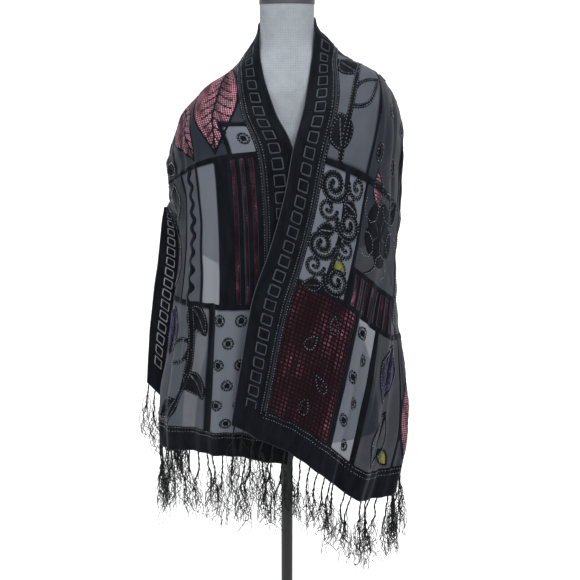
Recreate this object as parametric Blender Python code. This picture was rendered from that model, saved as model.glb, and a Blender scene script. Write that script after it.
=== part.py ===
"""Devore velvet shawl on a dress form, in metres, +Z up, the front facing -Y.

The shawl is one long rectangle, 1.93 m by 0.56 m. Its middle lies on the nape, its ends hang
down the front, and the right front lies over the left one. The surface is a smooth net through
a row of named places for each cross section of the cloth, with a row for each pleat. The origin
is the centre of the base's underside.
"""
import math
import random
from collections import namedtuple

import bmesh
import bpy
from mathutils import Vector
from mathutils.bvhtree import BVHTree

# cloth
WIDTH = 0.56
LEFT_LENGTH = 1.00
RIGHT_LENGTH = 0.93
WALL = 0.0016
PIECE_GAP = 0.0003
BACK_HALF = 0.17
STEPS_BETWEEN_ROWS = 4
STEPS_NEAR_NAPE = 7
NAPE_REACH = 0.20
STEPS_BETWEEN_COLUMNS = (6, 6, 5, 6)
SHORTEST_STEP = 0.008
SLOPE_STEP = 0.004
CLING_REACH = 0.030
CLING_LOW = 1.20
CLING_FULL = 1.32
CLOTH_CLEARANCE = 0.0030

# fringe
STRANDS_A_SIDE = 36
STRAND_WIDTH = 0.0032
STRAND_TIP_SHARE = 0.45
STRAND_LENGTH = 0.125
STRAND_LENGTH_SPREAD = 0.015
STRAND_WANDER = 0.0035
STRAND_STEPS = 4
STRAND_SWINGS = 1.5
BACKING_DEPTH = 0.004
BACKING_GAP = 0.0008
BACKING_WALL = 0.0012
HEM_STEP = 0.003
FRINGE_SEED = 7

# form and stand
FORM_SIDES = 28
FORM_BOTTOM = 0.66
FORM_TOP = 1.52
CAP_HEIGHT = 0.016
CAP_DROP = 0.006
CAP_LIP = 0.001
CAP_CROWN = 0.002
CAP_FLAT_SHARE = 0.75
MERGE_DISTANCE = 1e-6
SHARP_ANGLE = 50.0
POLE_RADIUS = 0.0125
BASE_RADIUS = 0.165
BASE_HEIGHT = 0.022
BASE_BEVEL = 0.004
ROUND_SIDES = 32

# one row for each cross section of the cloth, from the left end over the nape to the right end:
# how far along the cloth it is from the nape, and where the inner edge, the front, the fold,
# the tuck and the outer edge lie there
Section = namedtuple("Section", "along inner front fold tuck outer")
COLUMN_PLACES = (0.0, 0.16, 0.32, 0.42, 0.56)
SECTIONS = (
    Section(-1.00, (.002, -.155, .637), (-.148, -.128, .648), (-.268, -.030, .628),
            (-.226, .012, .662), (-.302, .036, .743)),
    Section(-0.90, (.010, -.152, .735), (-.142, -.135, .735), (-.265, -.033, .724),
            (-.214, .008, .755), (-.294, .035, .835)),
    Section(-0.80, (.018, -.149, .832), (-.137, -.134, .828), (-.249, -.034, .820),
            (-.190, .002, .850), (-.284, .034, .920)),
    Section(-0.67, (.025, -.146, .965), (-.132, -.130, .960), (-.227, -.034, .955),
            (-.173, .003, .965), (-.268, .034, 1.020)),
    Section(-0.57, (.027, -.146, 1.066), (-.132, -.128, 1.060), (-.214, -.036, 1.050),
            (-.182, .006, 1.055), (-.260, .038, 1.085)),
    Section(-0.47, (.024, -.148, 1.166), (-.134, -.126, 1.150), (-.214, -.045, 1.135),
            (-.226, .012, 1.125), (-.254, .052, 1.120)),
    Section(-0.38, (.011, -.140, 1.261), (-.142, -.112, 1.240), (-.226, -.026, 1.190),
            (-.241, .036, 1.150), (-.245, .084, 1.090)),
    Section(-0.29, (-.022, -.105, 1.327), (-.168, -.072, 1.318), (-.232, .012, 1.230),
            (-.238, .070, 1.155), (-.228, .114, 1.035)),
    Section(-0.20, (-.047, -.068, 1.402), (-.158, -.004, 1.374), (-.220, .082, 1.265),
            (-.212, .118, 1.165), (-.190, .134, 1.005)),
    Section(-0.10, (-.056, .000, 1.483), (-.115, .082, 1.352), (-.112, .127, 1.200),
            (-.105, .134, 1.100), (-.096, .139, .955)),
    Section(0.00, (.000, .062, 1.482), (.000, .106, 1.330), (.000, .128, 1.170),
            (.000, .135, 1.070), (.000, .140, .930)),
    Section(0.10, (.058, .000, 1.494), (.122, .082, 1.368), (.115, .130, 1.210),
            (.107, .137, 1.110), (.098, .142, .965)),
    Section(0.20, (.045, -.066, 1.408), (.168, -.004, 1.398), (.223, .076, 1.298),
            (.216, .115, 1.200), (.197, .136, 1.045)),
    Section(0.29, (.031, -.112, 1.334), (.173, -.084, 1.332), (.226, -.004, 1.258),
            (.223, .070, 1.185), (.213, .122, 1.060)),
    Section(0.38, (.011, -.157, 1.262), (.146, -.130, 1.205), (.219, -.028, 1.130),
            (.219, .048, 1.090), (.216, .108, 1.020)),
    Section(0.47, (-.006, -.167, 1.172), (.128, -.150, 1.105), (.214, -.050, 1.020),
            (.221, .022, 1.000), (.222, .095, .965)),
    Section(0.57, (-.032, -.171, 1.078), (.108, -.162, 1.008), (.205, -.078, .920),
            (.228, -.008, .900), (.232, .080, .880)),
    Section(0.67, (-.065, -.172, .982), (.086, -.170, .912), (.192, -.105, .815),
            (.239, -.030, .795), (.244, .070, .785)),
    Section(0.80, (-.088, -.174, .856), (.058, -.177, .785), (.171, -.130, .685),
            (.243, -.050, .665), (.258, .060, .662)),
    Section(0.93, (-.109, -.176, .730), (.030, -.183, .657), (.142, -.144, .556),
            (.215, -.074, .535), (.250, .050, .533)),
)

# one row for each pleat: the end it runs down to (-1 left, +1 right), how far across the cloth
# its middle is there, how far along it starts and is full, its half width, and how far it
# stands out (a negative depth is a trough)
Pleat = namedtuple("Pleat", "side across start full half_width depth")
PLEATS = (
    Pleat(-1, 0.045, 0.60, 0.95, 0.022, 0.006),
    Pleat(-1, 0.100, 0.50, 0.95, 0.024, -0.008),
    Pleat(-1, 0.155, 0.55, 0.90, 0.022, 0.009),
    Pleat(-1, 0.215, 0.45, 0.95, 0.026, -0.008),
    Pleat(-1, 0.265, 0.55, 0.95, 0.022, 0.008),
    Pleat(1, 0.060, 0.70, 0.93, 0.026, 0.006),
    Pleat(1, 0.125, 0.55, 0.93, 0.026, -0.008),
    Pleat(1, 0.190, 0.45, 0.90, 0.028, 0.010),
    Pleat(1, 0.262, 0.35, 0.85, 0.028, -0.016),
    Pleat(1, 0.315, 0.45, 0.93, 0.026, 0.012),
    Pleat(1, 0.368, 0.40, 0.90, 0.026, -0.010),
    Pleat(1, 0.420, 0.45, 0.93, 0.026, 0.010),
    Pleat(1, 0.474, 0.40, 0.90, 0.030, -0.008),
    Pleat(1, 0.530, 0.40, 0.90, 0.026, 0.006),
)

# one row for each level of the form, top to bottom: its height, and its half width, front
# depth and back depth there
Level = namedtuple("Level", "height half_width front back")
LEVELS = (
    Level(1.520, .0525, .0525, .0525),
    Level(1.460, .0535, .0535, .0545),
    Level(1.435, .062, .057, .061),
    Level(1.408, .091, .064, .071),
    Level(1.383, .120, .071, .079),
    Level(1.360, .150, .078, .086),
    Level(1.338, .173, .082, .090),
    Level(1.310, .189, .089, .096),
    Level(1.270, .195, .104, .103),
    Level(1.200, .180, .123, .106),
    Level(1.130, .162, .121, .100),
    Level(1.060, .147, .104, .090),
    Level(0.960, .137, .090, .082),
    Level(0.880, .152, .096, .100),
    Level(0.780, .181, .106, .117),
    Level(0.660, .197, .112, .119),
)
LEVEL_STEPS = 2

# colours as red, green and blue, with roughness and metallic
Finish = namedtuple("Finish", "colour roughness metallic")
VELVET = Finish((0.012, 0.013, 0.017), 0.85, 0.0)
FRINGE_SILK = Finish((0.010, 0.011, 0.013), 0.60, 0.0)
FORM_CLOTH = Finish((0.46, 0.48, 0.53), 0.90, 0.0)
DARK_CAP = Finish((0.045, 0.048, 0.055), 0.50, 0.0)
STAND_STEEL = Finish((0.020, 0.020, 0.023), 0.40, 0.8)


def smooth_step(share):
    """Rises from 0 to 1 with level ends."""
    share = min(1.0, max(0.0, share))
    return share * share * (3.0 - 2.0 * share)


def spline_value(places, values, place):
    """A smooth curve through values at uneven places, by cubic spans with averaged slopes."""
    last = len(places) - 1
    span = 0
    while span < last - 1 and place > places[span + 1]:
        span += 1

    def slope(index):
        low = max(0, index - 1)
        high = min(last, index + 1)
        return (values[high] - values[low]) / (places[high] - places[low])

    width = places[span + 1] - places[span]
    share = (place - places[span]) / width
    near = values[span]
    far = values[span + 1]
    near_slope = slope(span) * width
    far_slope = slope(span + 1) * width
    squared = share * share
    cubed = squared * share
    return (near * (2 * cubed - 3 * squared + 1) + near_slope * (cubed - 2 * squared + share)
            + far * (3 * squared - 2 * cubed) + far_slope * (cubed - squared))


def net_point(along, across):
    """The cloth's net, before its pleats, at a place on the flat cloth."""
    rows = [section.along for section in SECTIONS]
    columns = []
    for column in range(len(COLUMN_PLACES)):
        line = [Vector(section[column + 1]) for section in SECTIONS]
        columns.append(spline_value(rows, line, along))
    return spline_value(COLUMN_PLACES, columns, across)


def pleat_height(along, across):
    """How far the pleats stand out at a place on the flat cloth."""
    height = 0.0
    for pleat in PLEATS:
        distance = abs(across - pleat.across) / pleat.half_width
        if along * pleat.side > pleat.start and distance < 1.0:
            growth = smooth_step((along * pleat.side - pleat.start) / (pleat.full - pleat.start))
            height += pleat.depth * growth * (0.5 + 0.5 * math.cos(math.pi * distance))
    return height


def outward(along, across):
    """The way out from the form, level with the floor, square to the cloth."""
    side = (net_point(along, min(WIDTH, across + SLOPE_STEP))
            - net_point(along, max(0.0, across - SLOPE_STEP)))
    way = Vector((side.y, -side.x, 0.0))
    if along < 0.0:
        way = -way
    return way.normalized() if way.length > 0.0 else Vector((0.0, -1.0, 0.0))


def cloth_point(along, across, form_tree):
    """The middle of the cloth's wall at a place on the flat cloth."""
    point = net_point(along, across)
    height = pleat_height(along, across)
    if height != 0.0:
        point = point + outward(along, across) * height
    return clear_of_form(point, form_tree)


def clear_of_form(point, form_tree):
    """Moves a point that is near the form until the cloth just rests on it."""
    nearest, normal, _face, _distance = form_tree.find_nearest(point)
    away = point - nearest
    distance = away.length
    if away.dot(normal) < -distance / 2:
        return nearest + normal * CLOTH_CLEARANCE
    if distance > CLING_REACH:
        return point
    room = max(0.0, distance - CLOTH_CLEARANCE)
    closeness = 1.0 - smooth_step(room / (CLING_REACH - CLOTH_CLEARANCE))
    cling = closeness * smooth_step((point.z - CLING_LOW) / (CLING_FULL - CLING_LOW))
    return nearest + away.normalized() * (CLOTH_CLEARANCE + room * (1.0 - cling))


def finish_material(name, finish):
    """A plain material of one colour."""
    material = bpy.data.materials.new(name)
    material.use_nodes = True
    shader = material.node_tree.nodes["Principled BSDF"]
    shader.inputs["Base Color"].default_value = (*finish.colour, 1.0)
    shader.inputs["Roughness"].default_value = finish.roughness
    shader.inputs["Metallic"].default_value = finish.metallic
    return material


def add_object(name, mesh, finish):
    """Puts a mesh in the scene as a sub-part with its own material."""
    piece = bpy.data.objects.new(name, mesh)
    bpy.context.collection.objects.link(piece)
    mesh.materials.append(finish_material(name + "_finish", finish))
    return piece


def mesh_from(name, shape):
    """Turns a bmesh into a smooth shaded mesh."""
    bmesh.ops.recalc_face_normals(shape, faces=shape.faces)
    mesh = bpy.data.meshes.new(name)
    shape.to_mesh(mesh)
    shape.free()
    mesh.shade_smooth()
    mesh.set_sharp_from_angle(angle=math.radians(SHARP_ANGLE))
    return mesh


def form_level(height):
    """The form's level at any height, from the rows above."""
    heights = [-level.height for level in LEVELS]
    return [spline_value(heights, [level[column] for level in LEVELS], -height)
            for column in (1, 2, 3)]


def form_heights():
    """The heights of the form's rings, top to bottom."""
    heights = []
    for upper, lower in zip(LEVELS, LEVELS[1:]):
        for step in range(LEVEL_STEPS):
            heights.append(upper.height + (lower.height - upper.height) * step / LEVEL_STEPS)
    return heights + [LEVELS[-1].height]


def form_shape():
    """The torso and neck as rings of points, closed flat at both ends."""
    shape = bmesh.new()
    rings = []
    for height in form_heights():
        half_width, front, back = form_level(height)
        ring = []
        for side in range(FORM_SIDES):
            turn = 2.0 * math.pi * side / FORM_SIDES
            depth = front if math.cos(turn) > 0.0 else back
            ring.append(shape.verts.new((half_width * math.sin(turn),
                                         -depth * math.cos(turn), height)))
        rings.append(ring)
    for upper, lower in zip(rings, rings[1:]):
        for side in range(FORM_SIDES):
            following = (side + 1) % FORM_SIDES
            shape.faces.new((upper[side], lower[side], lower[following], upper[following]))
    shape.faces.new(rings[0])
    shape.faces.new(rings[-1])
    return shape


def add_form():
    """The torso, and a search tree of its surface for the cloth to rest on."""
    shape = form_shape()
    bmesh.ops.recalc_face_normals(shape, faces=shape.faces)
    tree = BVHTree.FromBMesh(shape)
    add_object("form_torso", mesh_from("form_torso", shape), FORM_CLOTH)
    return tree


def add_turned(name, radius_heights, finish):
    """A round piece turned from its outline, given as radius and height."""
    shape = bmesh.new()
    outline = [shape.verts.new((radius, 0.0, height)) for radius, height in radius_heights]
    edges = [shape.edges.new(pair) for pair in zip(outline, outline[1:])]
    bmesh.ops.spin(shape, geom=outline + edges, axis=(0, 0, 1), cent=(0, 0, 0),
                   angle=2.0 * math.pi, steps=ROUND_SIDES, use_merge=False)
    bmesh.ops.remove_doubles(shape, verts=shape.verts, dist=MERGE_DISTANCE)
    add_object(name, mesh_from(name, shape), finish)


def add_stand():
    """The neck cap, the pole and the round base."""
    neck = LEVELS[0].half_width
    cap_low = FORM_TOP + PIECE_GAP
    cap_high = cap_low + CAP_HEIGHT
    add_turned("neck_cap", ((0.0, cap_low), (neck, cap_low),
                            (neck + CAP_LIP, cap_low + CAP_CROWN), (neck, cap_high - CAP_DROP),
                            (neck * CAP_FLAT_SHARE, cap_high - CAP_CROWN), (0.0, cap_high)),
               DARK_CAP)
    pole_low = BASE_HEIGHT + PIECE_GAP
    pole_high = FORM_BOTTOM - PIECE_GAP
    add_turned("pole", ((0.0, pole_low), (POLE_RADIUS, pole_low), (POLE_RADIUS, pole_high),
                        (0.0, pole_high)), STAND_STEEL)
    add_turned("base", ((0.0, 0.0), (BASE_RADIUS, 0.0), (BASE_RADIUS, BASE_HEIGHT - BASE_BEVEL),
                        (BASE_RADIUS - BASE_BEVEL, BASE_HEIGHT), (0.0, BASE_HEIGHT)),
               STAND_STEEL)


def stretch_places(start, end):
    """Places along the cloth from start to end, a few between each two sections."""
    places = [start]
    for low, high in zip(SECTIONS, SECTIONS[1:]):
        near_nape = abs(low.along + high.along) / 2 < NAPE_REACH
        steps = STEPS_NEAR_NAPE if near_nape else STEPS_BETWEEN_ROWS
        for step in range(steps):
            place = low.along + (high.along - low.along) * step / steps
            if start + SHORTEST_STEP < place < end - SHORTEST_STEP:
                places.append(place)
    return places + [end]


def column_places():
    """Places across the cloth, a few between each two columns."""
    places = []
    for span, steps in enumerate(STEPS_BETWEEN_COLUMNS):
        low = COLUMN_PLACES[span]
        high = COLUMN_PLACES[span + 1]
        places.extend(low + (high - low) * step / steps for step in range(steps))
    return places + [WIDTH]


def add_cloth(name, start, end, form_tree):
    """One stretch of the shawl as a thin closed wall."""
    shape = bmesh.new()
    grid = []
    for along in stretch_places(start, end):
        grid.append([shape.verts.new(cloth_point(along, across, form_tree))
                     for across in column_places()])
    for near, far in zip(grid, grid[1:]):
        for column in range(len(near) - 1):
            shape.faces.new((near[column], near[column + 1], far[column + 1], far[column]))
    piece = add_object(name, mesh_from(name, shape), VELVET)
    wall = piece.modifiers.new("wall", "SOLIDIFY")
    wall.thickness = WALL
    wall.offset = 0.0
    wall.use_rim = True
    return piece


def hem_line(side, form_tree):
    """The hem at each column: its point, the way across the cloth and the way down from it."""
    end = RIGHT_LENGTH if side > 0 else -LEFT_LENGTH
    places = column_places()
    points = [cloth_point(end, across, form_tree) for across in places]
    line = []
    for index, across in enumerate(places):
        before = cloth_point(end - side * HEM_STEP, across, form_tree)
        down = (points[index] - before).normalized()
        way = points[min(index + 1, len(points) - 1)] - points[max(index - 1, 0)]
        line.append((across, points[index], way.normalized(), down))
    return line


def hem_frame(line, across):
    """The hem's point, way across and way down at any place, between its columns."""
    span = 0
    while span < len(line) - 2 and across > line[span + 1][0]:
        span += 1
    near = line[span]
    far = line[span + 1]
    share = (across - near[0]) / (far[0] - near[0])
    point, way, down = (near[part].lerp(far[part], share) for part in (1, 2, 3))
    return point, way.normalized(), down.normalized()


def add_fringe(name, side, form_tree):
    """A narrow backing strip below the hem with strands extruded from its underside."""
    rng = random.Random(FRINGE_SEED + side)
    shape = bmesh.new()
    line = hem_line(side, form_tree)
    pitch = WIDTH / STRANDS_A_SIDE
    places = []
    for strand in range(STRANDS_A_SIDE):
        middle = (strand + 0.5) * pitch
        places.append(middle - STRAND_WIDTH / 2)
        places.append(middle + STRAND_WIDTH / 2)
    places = [PIECE_GAP] + places + [WIDTH - PIECE_GAP]
    rings = []
    for across in places:
        point, way, down = hem_frame(line, across)
        through = way.cross(down).normalized() * (BACKING_WALL / 2)
        top = point + down * BACKING_GAP
        low = top + down * BACKING_DEPTH
        rings.append([shape.verts.new(corner) for corner in
                      (top + through, top - through, low - through, low + through)])
    undersides = []
    for near, far in zip(rings, rings[1:]):
        for corner in range(4):
            following = (corner + 1) % 4
            face = shape.faces.new((near[corner], near[following], far[following], far[corner]))
            if corner == 2:
                undersides.append(face)
    shape.faces.new(rings[0])
    shape.faces.new(rings[-1])
    bmesh.ops.recalc_face_normals(shape, faces=shape.faces)
    for face in undersides[1::2]:
        add_strand(shape, face, rng)
    return add_object(name, mesh_from(name, shape), FRINGE_SILK)


def add_strand(shape, root, rng):
    """One strand drawn out of a face of the backing, hanging with a slight wander."""
    length = STRAND_LENGTH + rng.uniform(-1.0, 1.0) * STRAND_LENGTH_SPREAD
    face = root
    start = root.calc_center_median()
    sway = Vector((rng.uniform(-1.0, 1.0), rng.uniform(-1.0, 1.0), 0.0)) * STRAND_WANDER
    for step in range(1, STRAND_STEPS + 1):
        share = step / STRAND_STEPS
        drawn = bmesh.ops.extrude_discrete_faces(shape, faces=[face])
        face = drawn["faces"][0]
        swing = math.sin(share * math.pi * STRAND_SWINGS)
        centre = start + Vector((0.0, 0.0, -length * share)) + sway * swing
        half = STRAND_WIDTH * (1.0 - (1.0 - STRAND_TIP_SHARE) * share) / 2
        middle = face.calc_center_median()
        for corner in face.verts:
            reach = corner.co - middle
            reach.z = 0.0
            corner.co = centre + reach.normalized() * half


def clear_scene():
    """Removes whatever the scene holds."""
    for piece in list(bpy.data.objects):
        bpy.data.objects.remove(piece, do_unlink=True)


def main():
    """Builds the form, its stand, the shawl and its fringes."""
    clear_scene()
    form_tree = add_form()
    add_stand()
    add_cloth("shawl_left_front", -LEFT_LENGTH, -BACK_HALF - PIECE_GAP, form_tree)
    add_cloth("shawl_back", -BACK_HALF, BACK_HALF, form_tree)
    add_cloth("shawl_right_front", BACK_HALF + PIECE_GAP, RIGHT_LENGTH, form_tree)
    add_fringe("fringe_left", -1, form_tree)
    add_fringe("fringe_right", 1, form_tree)


main()
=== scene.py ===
"""Looks of the devore velvet shawl on its dress form, laid out as a Blender add-on.

Places on the cloth are given as on the flat shawl, in metres: how far along it from the nape
(below nought towards the left end) and how far across it from the inner edge.
"""

import math
import random
from collections import namedtuple

import bmesh
import bpy
import numpy as np
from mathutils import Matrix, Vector, noise
from mathutils.bvhtree import BVHTree


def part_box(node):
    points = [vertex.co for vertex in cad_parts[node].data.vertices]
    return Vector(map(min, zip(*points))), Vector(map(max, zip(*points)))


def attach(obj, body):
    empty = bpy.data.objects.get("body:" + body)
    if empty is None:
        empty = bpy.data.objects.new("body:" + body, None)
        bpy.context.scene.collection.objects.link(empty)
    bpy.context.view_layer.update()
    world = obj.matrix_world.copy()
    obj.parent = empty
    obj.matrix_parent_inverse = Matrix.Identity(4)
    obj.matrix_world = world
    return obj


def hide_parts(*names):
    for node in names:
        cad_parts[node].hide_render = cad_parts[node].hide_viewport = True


bl_info = {
    "name": "Devore velvet shawl",
    "version": (1, 0, 0),
    "blender": (4, 5, 0),
    "location": "3D View > Sidebar > Shawl",
    "description": "Builds a fringed devore velvet shawl on a dress form, with its stage",
    "category": "Add Mesh",
}

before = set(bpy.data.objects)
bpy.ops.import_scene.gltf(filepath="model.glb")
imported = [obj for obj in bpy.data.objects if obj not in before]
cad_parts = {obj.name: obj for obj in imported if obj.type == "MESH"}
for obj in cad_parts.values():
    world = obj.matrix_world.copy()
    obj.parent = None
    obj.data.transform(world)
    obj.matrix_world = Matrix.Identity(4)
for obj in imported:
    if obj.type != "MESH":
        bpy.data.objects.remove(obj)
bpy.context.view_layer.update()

# the cloth's net, as in the part's source: a row for each cross section, and a row for each pleat
WIDTH = 0.56
LEFT_LENGTH = 1.00
RIGHT_LENGTH = 0.93
SLOPE_STEP = 0.004
CLING_REACH = 0.030
CLING_LOW = 1.20
CLING_FULL = 1.32
CLOTH_CLEARANCE = 0.0030
Section = namedtuple("Section", "along inner front fold tuck outer")
COLUMN_PLACES = (0.0, 0.16, 0.32, 0.42, 0.56)
SECTIONS = (
    Section(-1.00, (.002, -.155, .637), (-.148, -.128, .648), (-.268, -.030, .628),
            (-.226, .012, .662), (-.302, .036, .743)),
    Section(-0.90, (.010, -.152, .735), (-.142, -.135, .735), (-.265, -.033, .724),
            (-.214, .008, .755), (-.294, .035, .835)),
    Section(-0.80, (.018, -.149, .832), (-.137, -.134, .828), (-.249, -.034, .820),
            (-.190, .002, .850), (-.284, .034, .920)),
    Section(-0.67, (.025, -.146, .965), (-.132, -.130, .960), (-.227, -.034, .955),
            (-.173, .003, .965), (-.268, .034, 1.020)),
    Section(-0.57, (.027, -.146, 1.066), (-.132, -.128, 1.060), (-.214, -.036, 1.050),
            (-.182, .006, 1.055), (-.260, .038, 1.085)),
    Section(-0.47, (.024, -.148, 1.166), (-.134, -.126, 1.150), (-.214, -.045, 1.135),
            (-.226, .012, 1.125), (-.254, .052, 1.120)),
    Section(-0.38, (.011, -.140, 1.261), (-.142, -.112, 1.240), (-.226, -.026, 1.190),
            (-.241, .036, 1.150), (-.245, .084, 1.090)),
    Section(-0.29, (-.022, -.105, 1.327), (-.168, -.072, 1.318), (-.232, .012, 1.230),
            (-.238, .070, 1.155), (-.228, .114, 1.035)),
    Section(-0.20, (-.047, -.068, 1.402), (-.158, -.004, 1.374), (-.220, .082, 1.265),
            (-.212, .118, 1.165), (-.190, .134, 1.005)),
    Section(-0.10, (-.056, .000, 1.483), (-.115, .082, 1.352), (-.112, .127, 1.200),
            (-.105, .134, 1.100), (-.096, .139, .955)),
    Section(0.00, (.000, .062, 1.482), (.000, .106, 1.330), (.000, .128, 1.170),
            (.000, .135, 1.070), (.000, .140, .930)),
    Section(0.10, (.058, .000, 1.494), (.122, .082, 1.368), (.115, .130, 1.210),
            (.107, .137, 1.110), (.098, .142, .965)),
    Section(0.20, (.045, -.066, 1.408), (.168, -.004, 1.398), (.223, .076, 1.298),
            (.216, .115, 1.200), (.197, .136, 1.045)),
    Section(0.29, (.031, -.112, 1.334), (.173, -.084, 1.332), (.226, -.004, 1.258),
            (.223, .070, 1.185), (.213, .122, 1.060)),
    Section(0.38, (.011, -.157, 1.262), (.146, -.130, 1.205), (.219, -.028, 1.130),
            (.219, .048, 1.090), (.216, .108, 1.020)),
    Section(0.47, (-.006, -.167, 1.172), (.128, -.150, 1.105), (.214, -.050, 1.020),
            (.221, .022, 1.000), (.222, .095, .965)),
    Section(0.57, (-.032, -.171, 1.078), (.108, -.162, 1.008), (.205, -.078, .920),
            (.228, -.008, .900), (.232, .080, .880)),
    Section(0.67, (-.065, -.172, .982), (.086, -.170, .912), (.192, -.105, .815),
            (.239, -.030, .795), (.244, .070, .785)),
    Section(0.80, (-.088, -.174, .856), (.058, -.177, .785), (.171, -.130, .685),
            (.243, -.050, .665), (.258, .060, .662)),
    Section(0.93, (-.109, -.176, .730), (.030, -.183, .657), (.142, -.144, .556),
            (.215, -.074, .535), (.250, .050, .533)),
)
Pleat = namedtuple("Pleat", "side across start full half_width depth")
PLEATS = (
    Pleat(-1, 0.045, 0.60, 0.95, 0.022, 0.006),
    Pleat(-1, 0.100, 0.50, 0.95, 0.024, -0.008),
    Pleat(-1, 0.155, 0.55, 0.90, 0.022, 0.009),
    Pleat(-1, 0.215, 0.45, 0.95, 0.026, -0.008),
    Pleat(-1, 0.265, 0.55, 0.95, 0.022, 0.008),
    Pleat(1, 0.060, 0.70, 0.93, 0.026, 0.006),
    Pleat(1, 0.125, 0.55, 0.93, 0.026, -0.008),
    Pleat(1, 0.190, 0.45, 0.90, 0.028, 0.010),
    Pleat(1, 0.262, 0.35, 0.85, 0.028, -0.016),
    Pleat(1, 0.315, 0.45, 0.93, 0.026, 0.012),
    Pleat(1, 0.368, 0.40, 0.90, 0.026, -0.010),
    Pleat(1, 0.420, 0.45, 0.93, 0.026, 0.010),
    Pleat(1, 0.474, 0.40, 0.90, 0.030, -0.008),
    Pleat(1, 0.530, 0.40, 0.90, 0.026, 0.006),
)

# one row for each soft crease: the line it runs along on the flat cloth, its half width, and how
# far it stands out (a negative depth is a trough)
Crease = namedtuple("Crease", "along across end_along end_across half_width depth")
CREASES = (
    Crease(-0.16, 0.10, -0.40, 0.16, 0.016, -0.0030),
    Crease(-0.20, 0.17, -0.43, 0.21, 0.018, 0.0030),
    Crease(-0.24, 0.23, -0.46, 0.27, 0.016, -0.0035),
    Crease(-0.36, 0.05, -0.60, 0.07, 0.014, -0.0030),
    Crease(-0.44, 0.12, -0.72, 0.13, 0.016, 0.0040),
    Crease(-0.50, 0.17, -0.82, 0.185, 0.015, -0.0060),
    Crease(-0.55, 0.235, -0.90, 0.24, 0.015, 0.0070),
    Crease(-0.70, 0.07, -0.97, 0.075, 0.013, 0.0030),
    Crease(-0.70, 0.29, -0.98, 0.30, 0.016, -0.0065),
    Crease(-0.22, 0.33, -0.46, 0.34, 0.018, 0.0040),
    Crease(-0.62, 0.46, -0.95, 0.47, 0.016, -0.0030),
    Crease(-0.20, 0.40, -0.36, 0.50, 0.018, -0.0050),
    Crease(-0.13, 0.30, -0.17, 0.54, 0.018, 0.0050),
    Crease(-0.08, 0.22, -0.09, 0.52, 0.016, -0.0050),
    Crease(-0.03, 0.26, -0.02, 0.55, 0.018, 0.0050),
    Crease(0.03, 0.20, 0.05, 0.50, 0.016, -0.0045),
    Crease(0.08, 0.28, 0.11, 0.55, 0.018, 0.0050),
    Crease(0.14, 0.32, 0.18, 0.52, 0.016, -0.0050),
    Crease(0.16, 0.12, 0.36, 0.20, 0.016, 0.0030),
    Crease(0.18, 0.20, 0.42, 0.29, 0.018, -0.0040),
    Crease(0.24, 0.30, 0.46, 0.40, 0.018, 0.0045),
    Crease(0.20, 0.42, 0.40, 0.52, 0.018, -0.0050),
    Crease(0.40, 0.09, 0.62, 0.10, 0.015, -0.0030),
    Crease(0.46, 0.15, 0.74, 0.155, 0.016, 0.0040),
    Crease(0.52, 0.225, 0.88, 0.23, 0.015, -0.0070),
    Crease(0.60, 0.035, 0.88, 0.03, 0.015, 0.0030),
    Crease(0.60, 0.29, 0.92, 0.285, 0.016, 0.0075),
    Crease(0.58, 0.34, 0.92, 0.345, 0.014, -0.0070),
    Crease(0.56, 0.45, 0.90, 0.45, 0.015, 0.0045),
    Crease(0.50, 0.51, 0.88, 0.50, 0.015, -0.0045),
    Crease(-0.19, 0.30, -0.16, 0.80, 0.022, 0.0030),
    Crease(-0.24, 0.26, -0.22, 0.80, 0.024, -0.0040),
    Crease(-0.30, 0.26, -0.29, 0.80, 0.025, 0.0045),
    Crease(-0.36, 0.24, -0.36, 0.80, 0.026, -0.0045),
    Crease(0.21, 0.30, 0.19, 0.80, 0.022, -0.0030),
    Crease(0.27, 0.26, 0.26, 0.80, 0.025, 0.0040),
    Crease(0.33, 0.25, 0.33, 0.80, 0.026, -0.0045),
    Crease(0.39, 0.27, 0.40, 0.80, 0.025, 0.0045),
    Crease(0.45, 0.28, 0.46, 0.80, 0.025, -0.0040),
    Crease(0.51, 0.30, 0.53, 0.80, 0.024, 0.0035),
    Crease(0.58, 0.32, 0.61, 0.80, 0.024, -0.0030),
)
RUMPLE_SIZE = 0.060
RUMPLE_DEPTH = 0.0023
RUMPLE_STRETCH = 1.6
CREASE_FADE = 0.7

# one row for each level of the form, top to bottom, as in the part's source
Level = namedtuple("Level", "height half_width front back")
LEVELS = (
    Level(1.520, .0525, .0525, .0525),
    Level(1.460, .0535, .0535, .0545),
    Level(1.435, .062, .057, .061),
    Level(1.408, .091, .064, .071),
    Level(1.383, .120, .071, .079),
    Level(1.360, .150, .078, .086),
    Level(1.338, .173, .082, .090),
    Level(1.310, .189, .089, .096),
    Level(1.270, .195, .104, .103),
    Level(1.200, .180, .123, .106),
    Level(1.130, .162, .121, .100),
    Level(1.060, .147, .104, .090),
    Level(0.960, .137, .090, .082),
    Level(0.880, .152, .096, .100),
    Level(0.780, .181, .106, .117),
    Level(0.660, .197, .112, .119),
)
LEVEL_STEPS = 4
FORM_SIDES = 96

# the fine net that the ground and the pile are drawn on
NET_STEP = 0.0025
GROUND_SKIP = 2
NARROWEST = 1e-9
# a place on the net stays this many points before its end, just inside the last span
LAST_SPAN = 1.001

# borders, as distances from the nearest edge, and how thin the ground is in their loops, which also
# makes its colour paler there as painted light
BAND = 0.060
LOOP_MIDDLE = 0.0335
LOOP_HALF = 0.0095
LOOP_LINE = 0.0026
LOOP_PITCH = 0.029
INNER_LOOP_LIGHT = 0.25
OUTER_LOOP_LIGHT = 0.9
LINE_GAP = 0.0028
BURNT_LINE = 0.0028
LINE_WIDTH = 0.0052
HEM_BAND = 0.052
BAND_BEADS = 0.004
BAR = 0.009


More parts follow.
